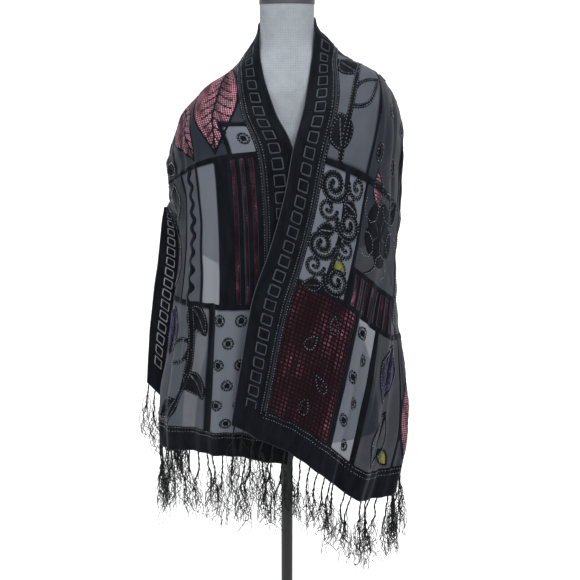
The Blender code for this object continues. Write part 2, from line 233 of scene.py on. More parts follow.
class Panel(namedtuple("Panel", "low high inner outer holds tone")):
    """A panel of the pattern: its ends along, its sides across, what it holds and its tone."""

    @property
    def length(self):
        """How long it is down the cloth."""
        return self.high - self.low

    @property
    def width(self):
        """How wide it is across the cloth."""
        return self.outer - self.inner

    @property
    def middle(self):
        """The middle between its two sides."""
        return (self.inner + self.outer) / 2


# one row for each panel between the borders
PANELS = (
    Panel(-0.940, -0.680, 0.078, 0.168, "rings", "light"),
    Panel(-0.940, -0.680, 0.186, 0.340, "violet_sprig", "middle"),
    Panel(-0.940, -0.680, 0.348, 0.492, "scrolls", "deep"),
    Panel(-0.670, -0.390, 0.068, 0.120, "stripes", "deep"),
    Panel(-0.670, -0.390, 0.156, 0.205, "plain", "light"),
    Panel(-0.670, -0.390, 0.212, 0.268, "wave", "middle"),
    Panel(-0.670, -0.390, 0.276, 0.376, "violet_leaves", "deep"),
    Panel(-0.670, -0.390, 0.384, 0.492, "rings", "middle"),
    Panel(-0.380, -0.150, 0.068, 0.292, "rose_leaves", "deep"),
    Panel(-0.380, -0.325, 0.068, 0.114, "rings", "light"),
    Panel(-0.380, -0.150, 0.300, 0.386, "lime_sprig", "deep"),
    Panel(-0.380, -0.150, 0.394, 0.492, "sprig", "deep"),
    Panel(-0.140, -0.004, 0.068, 0.190, "scrolls", "middle"),
    Panel(-0.140, -0.004, 0.198, 0.330, "check", "deep"),
    Panel(-0.140, -0.004, 0.338, 0.492, "sprig", "middle"),
    Panel(0.004, 0.170, 0.068, 0.178, "sprig", "middle"),
    Panel(0.004, 0.170, 0.186, 0.330, "rings", "light"),
    Panel(0.004, 0.170, 0.338, 0.492, "rose_leaves", "deep"),
    Panel(0.180, 0.375, 0.068, 0.160, "sprig", "middle"),
    Panel(0.180, 0.375, 0.168, 0.318, "few_rings", "deep"),
    Panel(0.180, 0.375, 0.326, 0.492, "stripes", "deep"),
    Panel(0.385, 0.600, 0.068, 0.166, "scrolls", "light"),
    Panel(0.385, 0.530, 0.174, 0.322, "flower", "deep"),
    Panel(0.540, 0.600, 0.174, 0.322, "stripes", "deep"),
    Panel(0.385, 0.600, 0.330, 0.492, "lime_sprig", "deep"),
    Panel(0.610, 0.868, 0.068, 0.206, "check", "deep"),
    Panel(0.610, 0.868, 0.216, 0.276, "rings", "light"),
    Panel(0.610, 0.868, 0.284, 0.392, "violet_leaves", "deep"),
    Panel(0.610, 0.868, 0.400, 0.492, "rose_leaves", "deep"),
)
# how thin the ground is in a panel of each tone, from 0 to 1; a light tone also makes the ground's
# colour paler as painted light, and a deep tone keeps it dark as painted shade
TONE_OPENNESS_AND_LIGHT = {"deep": 0.0, "middle": 0.38, "light": 1.0}
# wide bars between panels: from and to along, and their two sides across
BARS = (
    (-0.680, -0.385, 0.120, 0.156),
    (-0.940, -0.675, 0.168, 0.186),
    (0.605, 0.870, 0.204, 0.218),
    (-0.326, -0.317, 0.068, 0.122),
    (-0.382, -0.318, 0.114, 0.122),
)

# lengths in the motifs
RING_RADIUS = 0.0122
RING_GAP_RADIUS = 0.0072
RING_BEAD_RADIUS = 0.0102
RING_PITCH = 0.044
RING_STAGGER = 0.22
LONE_RING_STAGGER = 0.8
FEW_RINGS_PITCH = 0.070
STROKE = 0.0060
BOLD_STROKE = 0.0115
FINE_STROKE = 0.0038
LEAF_FULLNESS = 0.85
DROP_FULLNESS = 0.6
BURNT_VEIN_BOW = 0.002
VEIN_BOW = 0.004
LEAF_PITCH = 0.066
LEAF_RISE = 0.052
LEAF_REACH = 0.064
LEAF_EDGE_GAP = 0.006
LEAF_HALF_WIDTH = 0.021
LEAF_OUTLINE = 0.0081
VIOLET_PITCH = 0.125
ROSE_PITCH = 0.120
ROSE_HALF_WIDTH = 0.056
ROSE_LEAN = 0.23
ROSE_END_GAP = 0.005
ROSE_VEIN_REACH = 0.62
ROSE_VEIN_RUN = 0.020
WAVE_SWING = 0.006
WAVE_PITCH = 0.036
WAVE_STEP = 0.004
WAVE_PLACES = (0.42, 0.56)
# stripes, as shares of their pitch: the black one, and the wine one's start and three widths
STRIPE_PITCH = 0.018
BLACK_STRIPE = 0.46
WINE_START = 0.54
WINE_STRIPES = (0.42, 0.28, 0.42)
DROP_HALF_LENGTH = 0.018
DROP_HALF_WIDTH = 0.0135
# one row for each drop in a check: its share of the panel's length and width, and its turn
DROPS = ((0.16, 0.66, 0.3), (0.36, 0.40, -0.5), (0.62, 0.66, 0.9), (0.84, 0.50, -0.2))
# scrolls: a large one's radius, as a share of the panel's width, and the rest as shares of that
# radius, but for how far aside a scroll lies and the stem's bow, which are shares of the width
SCROLL_RADIUS = 0.29
SCROLL_PITCH = 1.9
SCROLL_STROKE = 0.38
SCROLL_STEM = 0.36
SCROLL_WINDING = 0.82
STEM_BOW = 0.10
Scroll = namedtuple("Scroll", "back aside side size turns")
SCROLL_PAIR = (Scroll(0.0, 0.24, 1, 1.0, 1.6), Scroll(0.4, 0.28, -1, 0.72, 1.3))
# the flower: distances are from its centre
PETALS = 5
PETAL_TURN = 0.3
PETAL_START = 0.004
PETAL_REACH = 0.054
PETAL_HALF_WIDTH = 0.033
PETAL_RIM = 0.052
PETAL_RIM_RADIUS = 0.022
PETAL_LINE = (0.010, 0.026)
FLOWER_LEAF = (0.044, 0.096)
FLOWER_LEAF_HALF_WIDTH = 0.017
FLOWER_LEAVES = ((2.4, "black"), (3.55, "rose"))
# the colours stop this far from the black pile
COLOUR_GAP = 0.0005
BEAD_LIFT = 0.0012
BEAD_INSET = 0.0018
# beads nearer to one another than this share of their pitch are left out
BEAD_ROOM = 0.72
# the pile's rim: how far its points may move, and the least steepness they are moved by
RIM_MOVE = 0.0016
LEAST_STEEPNESS = 0.2
# the black pile is made in three stretches, the middle one this far to both sides of the nape
BACK_HALF = 0.30
SHAWL_PIECES = ("black_pile_left", "black_pile_back", "black_pile_right", "rose_pile",
                "burgundy_pile", "wine_pile", "violet_pile", "lime_pile", "seed_beads", "left_fringe",
                "right_fringe")

# the fringe: a twist of two yarns, which frays into threads from some of its points
TWIST_STEPS = 12
TWIST_SWAY = 0.05
TWIST_KINK = 0.16
TWIST_TURN = 1.25
TWIST_RADIUS = 0.0009
THREAD_STEPS = 18
THREAD_SWAY = 0.12
THREAD_KINK = 0.62
THREAD_SPREAD = 0.0010
THREAD_ROOTS = (4, 7, 9, 11, 12, 12, 12)
STRAND_REACH = 0.013

# one row for each velvet: its pile, the setting of its colour, its stops as place and share of the
# colour's light, which paint the nap's sheen into its colour as painted shade and painted highlight,
# its sheen, how wide its crushed streaks of painted highlight are and the size of its net's squares
Nap = namedtuple("Nap", "pile colour stops sheen crush net")
NAPS = (
    Nap("black", "black", ((0.35, 0.15), (0.75, 1.0)), 0.26, 0.016, 0.0),
    Nap("rose", "rose", ((0.28, 0.04), (0.41, 0.20), (0.57, 1.0)), 0.08, 0.024, 0.0045),
    Nap("burgundy", "burgundy", ((0.26, 0.02), (0.46, 0.04), (0.55, 0.11), (0.66, 1.0)), 0.04,
        0.034, 0.0080),
    Nap("wine", "burgundy", ((0.40, 0.02), (0.54, 0.07), (0.60, 0.22), (0.68, 1.0)), 0.05,
        0.016, 0.0),
    Nap("violet", "violet", ((0.44, 0.05), (0.51, 0.18), (0.62, 1.0)), 0.08, 0.016, 0.0),
    Nap("lime", "lime", ((0.40, 0.05), (0.52, 0.35), (0.66, 1.0)), 0.08, 0.016, 0.0),
)

# the stage: a floor that bends up into a wall, and one row for each soft light
FLOOR_SIZE = 9.0
FLOOR_PLACE = (0.0, -0.5, -0.001)
WALL_HEIGHT = 6.0
WALL_BEND = 2.0
WORLD_STRENGTH = 0.42
Light = namedtuple("Light", "name place aim size watts")
LIGHTS = (
    Light("key_light", (0.8, -2.7, 2.7), (0.0, 0.0, 1.1), 1.0, 46.0),
    Light("fill_light", (-2.0, -2.4, 2.0), (0.0, 0.0, 1.0), 2.0, 14.0),
    Light("top_light", (0.0, -0.3, 3.2), (0.0, 0.0, 1.3), 1.8, 46.0),
)
# the camera fits the photograph: its place, how far it looks down, its lens and its shift
CAMERA_PLACE = (0.0, -1.9, 1.43)
CAMERA_DOWN = 14.0
CAMERA_LENS = 58.97
CAMERA_SHIFT = 0.0052

# heights nearer than this are the same
LEVEL_TOLERANCE = 1e-5


def linear(hex_colour):
    """A colour written as sRGB hex, as linear red, green and blue."""
    parts = [int(hex_colour[start:start + 2], 16) / 255.0 for start in (1, 3, 5)]
    return tuple(part / 12.92 if part <= 0.04045 else ((part + 0.055) / 1.055) ** 2.4
                 for part in parts)


def smooth_step(share):
    """Rises from 0 to 1 with level ends."""
    share = np.clip(share, 0.0, 1.0)
    return share * share * (3.0 - 2.0 * share)


def spline_value(places, values, place):
    """A smooth curve through values at uneven places, by cubic spans with averaged slopes."""
    last = len(places) - 1
    span = 0
    while span < last - 1 and place > places[span + 1]:
        span += 1

    def slope(index):
        low = max(0, index - 1)
        high = min(last, index + 1)
        return (values[high] - values[low]) / (places[high] - places[low])

    width = places[span + 1] - places[span]
    share = (place - places[span]) / width
    near = values[span]
    far = values[span + 1]
    near_slope = slope(span) * width
    far_slope = slope(span + 1) * width
    squared = share * share
    cubed = squared * share
    return (near * (2 * cubed - 3 * squared + 1) + near_slope * (cubed - 2 * squared + share)
            + far * (3 * squared - 2 * cubed) + far_slope * (cubed - squared))


def spline_shares(places, wanted):
    """How much each place counts in the smooth curve's value at each wanted place."""
    return np.array([spline_value(places, np.eye(len(places)), place) for place in wanted])


def form_level(height):
    """The form's half width, front depth and back depth at any height."""
    heights = [-level.height for level in LEVELS]
    return [spline_value(heights, [level[column] for level in LEVELS], -height)
            for column in (1, 2, 3)]


def form_heights():
    """The heights of the form's rings, top to bottom."""
    heights = []
    for upper, lower in zip(LEVELS, LEVELS[1:]):
        for step in range(LEVEL_STEPS):
            heights.append(upper.height + (lower.height - upper.height) * step / LEVEL_STEPS)
    return heights + [LEVELS[-1].height]


def form_point(turn, height):
    """The form's surface at a turn from the front and a height."""
    half_width, front, back = form_level(height)
    depth = front if math.cos(turn) > 0.0 else back
    return Vector((half_width * math.sin(turn), -depth * math.cos(turn), height))


def form_tree():
    """A search tree of the form's surface for the cloth to rest on."""
    points = []
    faces = []
    heights = form_heights()
    for height in heights:
        points.extend(form_point(2.0 * math.pi * side / FORM_SIDES, height)
                      for side in range(FORM_SIDES))
    for ring in range(len(heights) - 1):
        for side in range(FORM_SIDES):
            following = (side + 1) % FORM_SIDES
            upper = ring * FORM_SIDES
            lower = upper + FORM_SIDES
            faces.append((upper + side, lower + side, lower + following, upper + following))
    faces.append(tuple(range(FORM_SIDES)))
    bottom = range((len(heights) - 1) * FORM_SIDES, len(heights) * FORM_SIDES)
    faces.append(tuple(reversed(bottom)))
    return BVHTree.FromPolygons(points, faces)


class Drape:
    """The hanging cloth as a fine net of points with the way out from each."""

    def __init__(self):
        steps_along = round((LEFT_LENGTH + RIGHT_LENGTH) / NET_STEP)
        steps_across = round(WIDTH / NET_STEP)
        self.along = np.linspace(-LEFT_LENGTH, RIGHT_LENGTH, steps_along + 1)
        self.across = np.linspace(0.0, WIDTH, steps_across + 1)
        rows = [section.along for section in SECTIONS]
        table = np.array([section[1:] for section in SECTIONS])
        shares_along = spline_shares(rows, self.along)
        net = self.net(table, shares_along, self.across)
        side = (self.net(table, shares_along, np.minimum(WIDTH, self.across + SLOPE_STEP))
                - self.net(table, shares_along, np.maximum(0.0, self.across - SLOPE_STEP)))
        out = np.stack((side[..., 1], -side[..., 0], np.zeros(side.shape[:2])), axis=-1)
        out[self.along < 0.0] *= -1.0
        out /= np.maximum(NARROWEST, np.linalg.norm(out, axis=-1, keepdims=True))
        height = self.fold_heights()
        self.points = self.clear_of_form(net + out * height[..., None])
        self.normals = self.find_normals()

    def net(self, table, shares_along, across):
        """The net before its folds."""
        shares_across = spline_shares(COLUMN_PLACES, across)
        return np.einsum("ia,jb,abk->ijk", shares_along, shares_across, table)

    def fold_heights(self):
        """How far pleats, creases and rumples stand out over the net."""
        along, across = np.meshgrid(self.along, self.across, indexing="ij")
        height = np.zeros(along.shape)
        for pleat in PLEATS:
            distance = np.minimum(1.0, np.abs(across - pleat.across) / pleat.half_width)
            growth = smooth_step((along * pleat.side - pleat.start) / (pleat.full - pleat.start))
            height += pleat.depth * growth * (0.5 + 0.5 * np.cos(math.pi * distance))
        for crease in CREASES:
            start = np.array((crease.along, crease.across))
            way = np.array((crease.end_along, crease.end_across)) - start
            length = np.linalg.norm(way)
            way = way / length
            down = ((along - start[0]) * way[0] + (across - start[1]) * way[1]) / length
            aside = (along - start[0]) * -way[1] + (across - start[1]) * way[0]
            fade = np.sin(math.pi * np.clip(down, 0.0, 1.0)) ** CREASE_FADE
            aside = np.minimum(1.0, np.abs(aside) / crease.half_width)
            height += crease.depth * fade * (0.5 + 0.5 * np.cos(math.pi * aside))
        for row, place_along in enumerate(self.along):
            for column, place_across in enumerate(self.across):
                place = Vector((place_along / RUMPLE_SIZE,
                                place_across / RUMPLE_SIZE * RUMPLE_STRETCH, 0.0))
                height[row, column] += RUMPLE_DEPTH * noise.noise(place)
        return height

    def clear_of_form(self, points):
        """Moves points that are near the form until the cloth just rests on it."""
        tree = form_tree()
        flat = points.reshape(-1, 3)
        moved = flat.copy()
        for index, place in enumerate(flat):
            point = Vector(place)
            nearest, normal, _face, distance = tree.find_nearest(point)
            away = point - nearest
            if away.dot(normal) < -distance / 2:
                moved[index] = nearest + normal * CLOTH_CLEARANCE
            elif distance <= CLING_REACH:
                room = max(0.0, distance - CLOTH_CLEARANCE)
                closeness = 1.0 - smooth_step(room / (CLING_REACH - CLOTH_CLEARANCE))
                cling = closeness * smooth_step((point.z - CLING_LOW) / (CLING_FULL - CLING_LOW))
                moved[index] = (nearest + away.normalized()
                                * (CLOTH_CLEARANCE + room * (1.0 - cling)))
        return moved.reshape(points.shape)

    def find_normals(self):
        """The way out from the cloth at each point of the net."""
        down = np.gradient(self.points, axis=0)
        side = np.gradient(self.points, axis=1)
        normals = np.cross(down, side)
        return normals / np.maximum(NARROWEST, np.linalg.norm(normals, axis=-1, keepdims=True))

    def at(self, along, across, lift):
        """Points over the cloth at places on the flat cloth."""
        row = np.clip((along + LEFT_LENGTH) / NET_STEP, 0.0, len(self.along) - LAST_SPAN)
        column = np.clip(across / NET_STEP, 0.0, len(self.across) - LAST_SPAN)
        low_row = row.astype(int)
        low_column = column.astype(int)
        row_share = (row - low_row)[:, None]
        column_share = (column - low_column)[:, None]
        lifted = np.broadcast_to(np.asarray(lift), along.shape)[:, None]

        def blend(net):
            near = (net[low_row, low_column] * (1.0 - column_share)
                    + net[low_row, low_column + 1] * column_share)
            far = (net[low_row + 1, low_column] * (1.0 - column_share)
                   + net[low_row + 1, low_column + 1] * column_share)
            return near * (1.0 - row_share) + far * row_share

        return blend(self.points) + blend(self.normals) * lifted


def side_of(way):
    """The unit direction square to a way."""
    return np.array((-way[1], way[0])) / np.linalg.norm(way)


def heading(angle):
    """The unit direction at an angle, or one for each of several."""
    return np.stack((np.cos(angle), np.sin(angle)), axis=-1)


def closed(outline):
    """An outline as a line that ends where it starts."""
    return np.concatenate((outline, outline[:1]))


def leaf_shape(base, tip, half_width, steps=9):
    """A pointed oval between two places, fuller towards its base."""
    base = np.array(base)
    way = np.array(tip) - base
    shares = np.linspace(0.0, 1.0, steps)
    spread = (half_width * np.sin(math.pi * shares ** LEAF_FULLNESS))[:, None] * side_of(way)
    middle = base + shares[:, None] * way
    return np.concatenate((middle + spread, (middle - spread)[::-1][1:-1]))


def drop_shape(base, tip, half_width, steps=20):
    """A drop with its round end at the tip."""
    base = np.array(base)
    way = np.array(tip) - base
    turns = np.linspace(0.0, 2.0 * math.pi, steps, endpoint=False)
    down = 0.5 - 0.5 * np.cos(turns)
    spread = half_width * np.sin(turns) * down ** DROP_FULLNESS
    return base + down[:, None] * way + spread[:, None] * side_of(way)


def spiral_line(centre, radius, turns, start, hand, steps=14):
    """A scroll that winds in from its outer end to a small eye."""
    shares = np.linspace(0.0, 1.0, int(turns * steps) + 1)
    reach = radius * (1.0 - SCROLL_WINDING * shares)
    angles = start + hand * shares * turns * 2.0 * math.pi
    return np.array(centre) + heading(angles) * reach[:, None]


def round_line(centre, radius, steps=20):
    """A closed ring of places."""
    return np.array(centre) + radius * heading(np.linspace(0.0, 2.0 * math.pi, steps + 1))


def bent_line(start, end, bow, steps=12):
    """A line between two places that bows to one side."""
    start = np.array(start)
    way = np.array(end) - start
    shares = np.linspace(0.0, 1.0, steps + 1)[:, None]
    return start + shares * way + bow * np.sin(math.pi * shares) * side_of(way)


def beside_line(points, distance):
    """A line that keeps to one side of another."""
    way = np.gradient(points, axis=0)
    way /= np.maximum(NARROWEST, np.linalg.norm(way, axis=1, keepdims=True))
    return points + np.stack((-way[:, 1], way[:, 0]), axis=1) * distance


class Pattern:
    """The burnt out pattern as one distance field a colour: below nought there is pile.

    Each kind of motif has a method of its name, which draws it in a panel.
    """

    COLOURS = ("black", "rose", "burgundy", "wine", "violet", "lime")

    def __init__(self, cloth):
        self.along, self.across = np.meshgrid(cloth.along, cloth.across, indexing="ij")
        self.fields = {colour: np.ones(self.along.shape) for colour in self.COLOURS}
        self.bead_lines = []
        # how thin the ground is at each place, which also sets how much painted light makes its
        # colour paler
        self.light = np.zeros(self.along.shape)

    def window(self, points, reach):
        """The part of the net that lies near some places."""
        low = points.min(axis=0) - reach
        high = points.max(axis=0) + reach
        first = max(0, int((low[0] + LEFT_LENGTH) / NET_STEP))
        last = max(first + 1, int((high[0] + LEFT_LENGTH) / NET_STEP) + 2)
        left = max(0, int(low[1] / NET_STEP))
        right = max(left + 1, int(high[1] / NET_STEP) + 2)
        return slice(first, last), slice(left, right)

    def distance(self, points, window):
        """How far the net's places in a window are from a line through some points."""
        along = self.along[window]
        across = self.across[window]
        nearest = np.full(along.shape, np.inf)
        for start, end in zip(points, points[1:]):
            way = end - start
            length = max(NARROWEST, float(way @ way))
            share = ((along - start[0]) * way[0] + (across - start[1]) * way[1]) / length
            share = np.clip(share, 0.0, 1.0)
            gap = np.hypot(along - start[0] - share * way[0], across - start[1] - share * way[1])
            nearest = np.minimum(nearest, gap)
        return nearest

    def inside(self, outline, window):
        """Whether the net's places in a window lie inside a closed outline."""
        along = self.along[window]
        across = self.across[window]
        within = np.zeros(along.shape, bool)
        for start, end in zip(outline, np.roll(outline, -1, axis=0)):
            if start[1] == end[1]:
                continue
            spans = (start[1] > across) != (end[1] > across)
            cross = start[0] + (across - start[1]) * (end[0] - start[0]) / (end[1] - start[1])
            within ^= spans & (along < cross)
        return within

    def box_gap(self, low, high, inner, outer):
        """How far the net's places are outside a rectangle: below nought inside it."""
        return np.maximum(np.abs(self.along - (low + high) / 2) - (high - low) / 2,
                          np.abs(self.across - (inner + outer) / 2) - (outer - inner) / 2)

    def stroke(self, points, width=STROKE, beads=False):
        """Draws a line of black pile, with beads on it or, if it is wide, down both its sides."""
        window = self.window(points, width)
        field = self.fields["black"]
        field[window] = np.minimum(field[window], self.distance(points, window) - width / 2)
        if beads and width > STROKE:
            self.bead_lines.append(beside_line(points, width / 2 - BEAD_INSET))
            self.bead_lines.append(beside_line(points, BEAD_INSET - width / 2))
        elif beads:
            self.bead_lines.append(points)

    def fill(self, colour, outline):
        """Fills an outline with pile."""
        window = self.window(outline, STROKE)
        gap = self.distance(closed(outline), window)
        field = self.fields[colour]
        field[window] = np.minimum(field[window],
                                   np.where(self.inside(outline, window), -gap, gap))

    def burn(self, points, width=BURNT_LINE):
        """Burns a fine line out of the black pile."""
        window = self.window(points, width)
        field = self.fields["black"]
        field[window] = np.maximum(field[window], width / 2 - self.distance(points, window))

    def block(self, colour, low, high, inner, outer):
        """Fills a rectangle with pile."""
        field = self.fields[colour]
        np.minimum(field, self.box_gap(low, high, inner, outer), out=field)

    def borders(self):
        """The square looped bands down both long edges, and the bands at both ends."""
        edge = np.minimum(self.across, WIDTH - self.across)
        self.light[self.across < BAND] = INNER_LOOP_LIGHT
        self.light[self.across > WIDTH - BAND] = OUTER_LOOP_LIGHT
        hem = np.minimum(self.along + LEFT_LENGTH, RIGHT_LENGTH - self.along)
        place = (self.along + LEFT_LENGTH) % LOOP_PITCH - LOOP_PITCH / 2
        loop = np.maximum(np.abs(place), np.abs(edge - LOOP_MIDDLE)) - LOOP_HALF
        loop = np.where(hem < HEM_BAND, -1.0, LOOP_LINE / 2 - np.abs(loop))
        line_middle = LINE_GAP + LINE_WIDTH / 2
        line = np.abs(edge - BAND - line_middle) - LINE_WIDTH / 2
        end_line = np.abs(hem - HEM_BAND - line_middle) - LINE_WIDTH / 2
        black = self.fields["black"]
        for shape in (np.maximum(edge - BAND, loop), line, hem - HEM_BAND,
                      np.where(edge < BAND, 1.0, end_line)):
            np.minimum(black, shape, out=black)
        for beside in (BAND - BAND_BEADS, BAND + line_middle):
            for across in (beside, WIDTH - beside):
                self.bead_lines.append(np.array(((-LEFT_LENGTH + HEM_BAND, across),
                                                 (RIGHT_LENGTH - HEM_BAND, across))))
        for beside in (HEM_BAND - BAND_BEADS, HEM_BAND + line_middle):
            for along in (-LEFT_LENGTH + beside, RIGHT_LENGTH - beside):
                self.bead_lines.append(np.array(((along, BAND), (along, WIDTH - BAND))))

    def ring(self, centre):
        """A ring dot: a round of pile with a fine ring burnt out of it, and beads on its rim."""
        self.stroke(np.array((centre, centre)), 2 * RING_RADIUS)
        self.burn(round_line(centre, RING_GAP_RADIUS))
        self.bead_lines.append(round_line(centre, RING_BEAD_RADIUS))

    def rings(self, panel, ring_pitch=RING_PITCH):
        """Ring dots in staggered rows."""
        rows = max(1, round(panel.length / ring_pitch))
        columns = max(1, round(panel.width / ring_pitch))
        for row in range(rows):
            along = panel.low + (row + 0.5) * panel.length / rows
            stagger = RING_STAGGER if row % 2 else -RING_STAGGER
            if columns == 1:
                stagger *= LONE_RING_STAGGER
            for column in range(columns):
                self.ring((along, panel.inner + panel.width * (column + 0.5 + stagger) / columns))

    def few_rings(self, panel):
        """Ring dots set far apart."""
        self.rings(panel, FEW_RINGS_PITCH)

    def scroll(self, centre, radius, side, turns):
        """One scroll of beaded pile that starts at one side of its centre."""
        self.stroke(spiral_line(centre, radius, turns, math.pi / 2 * side, -side),
                    min(BOLD_STROKE, radius * SCROLL_STROKE), beads=True)

    def scrolls(self, panel):
        """A large and a small scroll by turns off a bowed stem, with small leaves between them."""
        width = panel.width
        middle = panel.middle
        radius = width * SCROLL_RADIUS
        self.stroke(bent_line((panel.low, middle), (panel.high, middle), width * STEM_BOW),
                    min(BOLD_STROKE, radius * SCROLL_STEM))
        count = max(1, round(panel.length / (SCROLL_PITCH * radius)))
        for index in range(count):
            along = panel.low + (index + 0.5) * panel.length / count
            side = 1 if index % 2 else -1
            for row in SCROLL_PAIR:
                centre = (along - radius * row.back, middle + row.side * side * width * row.aside)
                self.scroll(centre, radius * row.size, -row.side * side, row.turns)
            base = (along + radius * 0.7, middle - side * width * 0.04)
            tip = (along + radius * 1.1, middle - side * width * 0.40)
            self.leaf(base, tip, radius * 0.42, FINE_STROKE,
                      "lime" if index % 3 == 2 else "black")

    def leaf(self, base, tip, half_width, outline_width=STROKE, colour="black"):
        """A leaf of pile with beads round it: a black one has its vein burnt out."""
        outline = leaf_shape(base, tip, half_width)
        self.fill(colour, outline)
        if colour == "black":
            self.burn(bent_line(base, tip, BURNT_VEIN_BOW))
        self.stroke(closed(outline), outline_width, beads=True)

    def vein(self, base, tip):
        """A black vein down a leaf."""
        self.stroke(bent_line(base, tip, VEIN_BOW), FINE_STROKE)

    def sprig(self, panel, leaf_colour="black"):
        """A bowed stem with leaves to both sides: whole, outlined, or of another colour."""
        stem = bent_line((panel.high, panel.middle - panel.width * 0.2),
                         (panel.low, panel.middle + panel.width * 0.1), panel.width * 0.16)
        self.stroke(stem, BOLD_STROKE, beads=True)
        count = max(2, round(panel.length / LEAF_PITCH))
        for index in range(count):
            base = stem[int((index + 0.25) * (len(stem) - 1) / count)]
            side = 1 if index % 2 else -1
            edge = panel.outer if side > 0 else panel.inner
            reach = min(abs(edge - base[1]) - LEAF_EDGE_GAP, LEAF_REACH)
            tip = (base[0] - LEAF_RISE, base[1] + side * reach)
            if leaf_colour != "black" and index % 2:
                self.leaf(base, tip, LEAF_HALF_WIDTH, colour=leaf_colour)
            elif index % 3 == 1:
                self.stroke(closed(leaf_shape(base, tip, LEAF_HALF_WIDTH)), LEAF_OUTLINE,
                            beads=True)
            else:
                self.leaf(base, tip, LEAF_HALF_WIDTH)

    def violet_sprig(self, panel):
        """A sprig with a violet leaf in its outer corner."""
        self.sprig(panel)
        base = (panel.high - 0.012, panel.outer - 0.044)
        tip = (panel.high - 0.105, panel.outer - 0.034)
        self.leaf(base, tip, 0.032, colour="violet")
        self.vein(base, tip)

    def lime_sprig(self, panel):
        """A sprig with some yellow green leaves."""
        self.sprig(panel, "lime")

    def violet_leaves(self, panel):
        """Large leaves, violet or bare by turns, and a yellow green one near the hem."""
        width = panel.width
        count = max(1, round(panel.length / VIOLET_PITCH))
        pitch = panel.length / count
        for index in range(count):
            low = panel.low + index * pitch
            base = (low + pitch * 0.08, panel.middle + width * 0.12)
            tip = (low + pitch * 0.92, panel.middle - width * 0.10)
            if index % 2:
                for bow in (width * 0.22, width * -0.22):
                    self.stroke(bent_line(base, tip, bow), beads=True)
            else:
                self.leaf(base, tip, width * 0.32, colour="violet")
            self.vein(base, tip)
        end = panel.high if panel.high > 0.0 else panel.low
        small = leaf_shape((end - math.copysign(0.045, end), panel.outer - width * 0.42),
                           (end - math.copysign(0.006, end), panel.outer - width * 0.10), 0.012)
        self.fill("lime", small)
        self.stroke(closed(small), FINE_STROKE)

    def rose_leaves(self, panel):
        """Long rose leaves with black veins."""
        count = max(1, round(panel.width / ROSE_PITCH))
        pitch = panel.width / count
        half_width = min(pitch * 0.47, ROSE_HALF_WIDTH)
        for index in range(count):
            across = panel.inner + (index + 0.5) * pitch
            lean = (ROSE_LEAN if index % 2 else -ROSE_LEAN) * pitch
            base = np.array((panel.high - ROSE_END_GAP, across + lean))
            tip = np.array((panel.low + ROSE_END_GAP, across - lean))
            outline = leaf_shape(base, tip, half_width, 17)
            self.fill("rose", outline)
            self.stroke(closed(outline), FINE_STROKE)
            spine = bent_line(base, tip, pitch * 0.05)
            self.stroke(spine, FINE_STROKE)
            for place in spine[1:-2]:
                share = (place[0] - tip[0]) / (base[0] - tip[0])
                reach = half_width * ROSE_VEIN_REACH * math.sin(math.pi * share)
                for side in (-1, 1):
                    end = place + np.array((-ROSE_VEIN_RUN, side * reach))
                    self.stroke(bent_line(place, end, side * 0.003, 4), NET_STEP)

    def check(self, panel):
        """A burgundy ground with a few beaded drops; its material parts it into squares."""
        self.block("burgundy", panel.low, panel.high, panel.inner, panel.outer)
        for share, aside, turn in DROPS:
            centre = np.array((panel.low + share * panel.length,
                               panel.inner + aside * panel.width))
            way = heading(turn) * DROP_HALF_LENGTH
            outline = drop_shape(centre - way, centre + way, DROP_HALF_WIDTH)
            self.stroke(closed(outline), FINE_STROKE, beads=True)

    def stripes(self, panel):
        """Black and wine red stripes of two widths, down the cloth."""
        count = max(3, round(panel.width / STRIPE_PITCH))
        pitch = panel.width / count
        for index in range(count):
            inner = panel.inner + index * pitch
            self.block("black", panel.low, panel.high, inner, inner + pitch * BLACK_STRIPE)
            wine_stripe = WINE_STRIPES[index % len(WINE_STRIPES)]
            self.block("wine", panel.low, panel.high, inner + pitch * WINE_START,
                       inner + pitch * (WINE_START + wine_stripe))

    def wave(self, panel):
        """A doubled waving band down the cloth."""
        along = np.arange(panel.low, panel.high, WAVE_STEP)
        swing = WAVE_SWING * np.sin((along - panel.low) / WAVE_PITCH * 2.0 * math.pi)
        for share in WAVE_PLACES:
            self.stroke(np.stack((along, panel.inner + panel.width * share + swing), axis=1))

    def flower(self, panel):
        """A five petalled flower with beads round its petals, two leaves and a stem."""
        centre = np.array(((panel.low + panel.high) / 2 - 0.01,
                           panel.inner * 0.58 + panel.outer * 0.42))
        ways = heading(2.0 * math.pi * np.arange(PETALS) / PETALS + PETAL_TURN)
        for way in ways:
            self.fill("black", drop_shape(centre - way * PETAL_START, centre + way * PETAL_REACH,
                                          PETAL_HALF_WIDTH))
        rim = round_line((0.0, 0.0), PETAL_RIM_RADIUS, 8)[:7]
        for way in ways:
            turned = np.array((way, (-way[1], way[0])))
            self.bead_lines.append(centre + way * PETAL_RIM + rim @ turned)
            self.burn(centre + np.outer(PETAL_LINE, way))
        for angle, colour in FLOWER_LEAVES:
            base, tip = centre + np.outer(FLOWER_LEAF, heading(angle))
            self.leaf(base, tip, FLOWER_LEAF_HALF_WIDTH, FINE_STROKE, colour)
        self.stroke(bent_line(centre + (0.03, 0.0), (panel.high, panel.inner + 0.03), 0.01),
                    beads=True)

    def plain(self, _panel):
        """Sheer ground with nothing on it."""

    def part_colours(self):
        """Keeps every colour just clear of the black pile."""
        for colour in self.COLOURS[1:]:
            field = self.fields[colour]
            np.maximum(field, COLOUR_GAP - self.fields["black"], out=field)

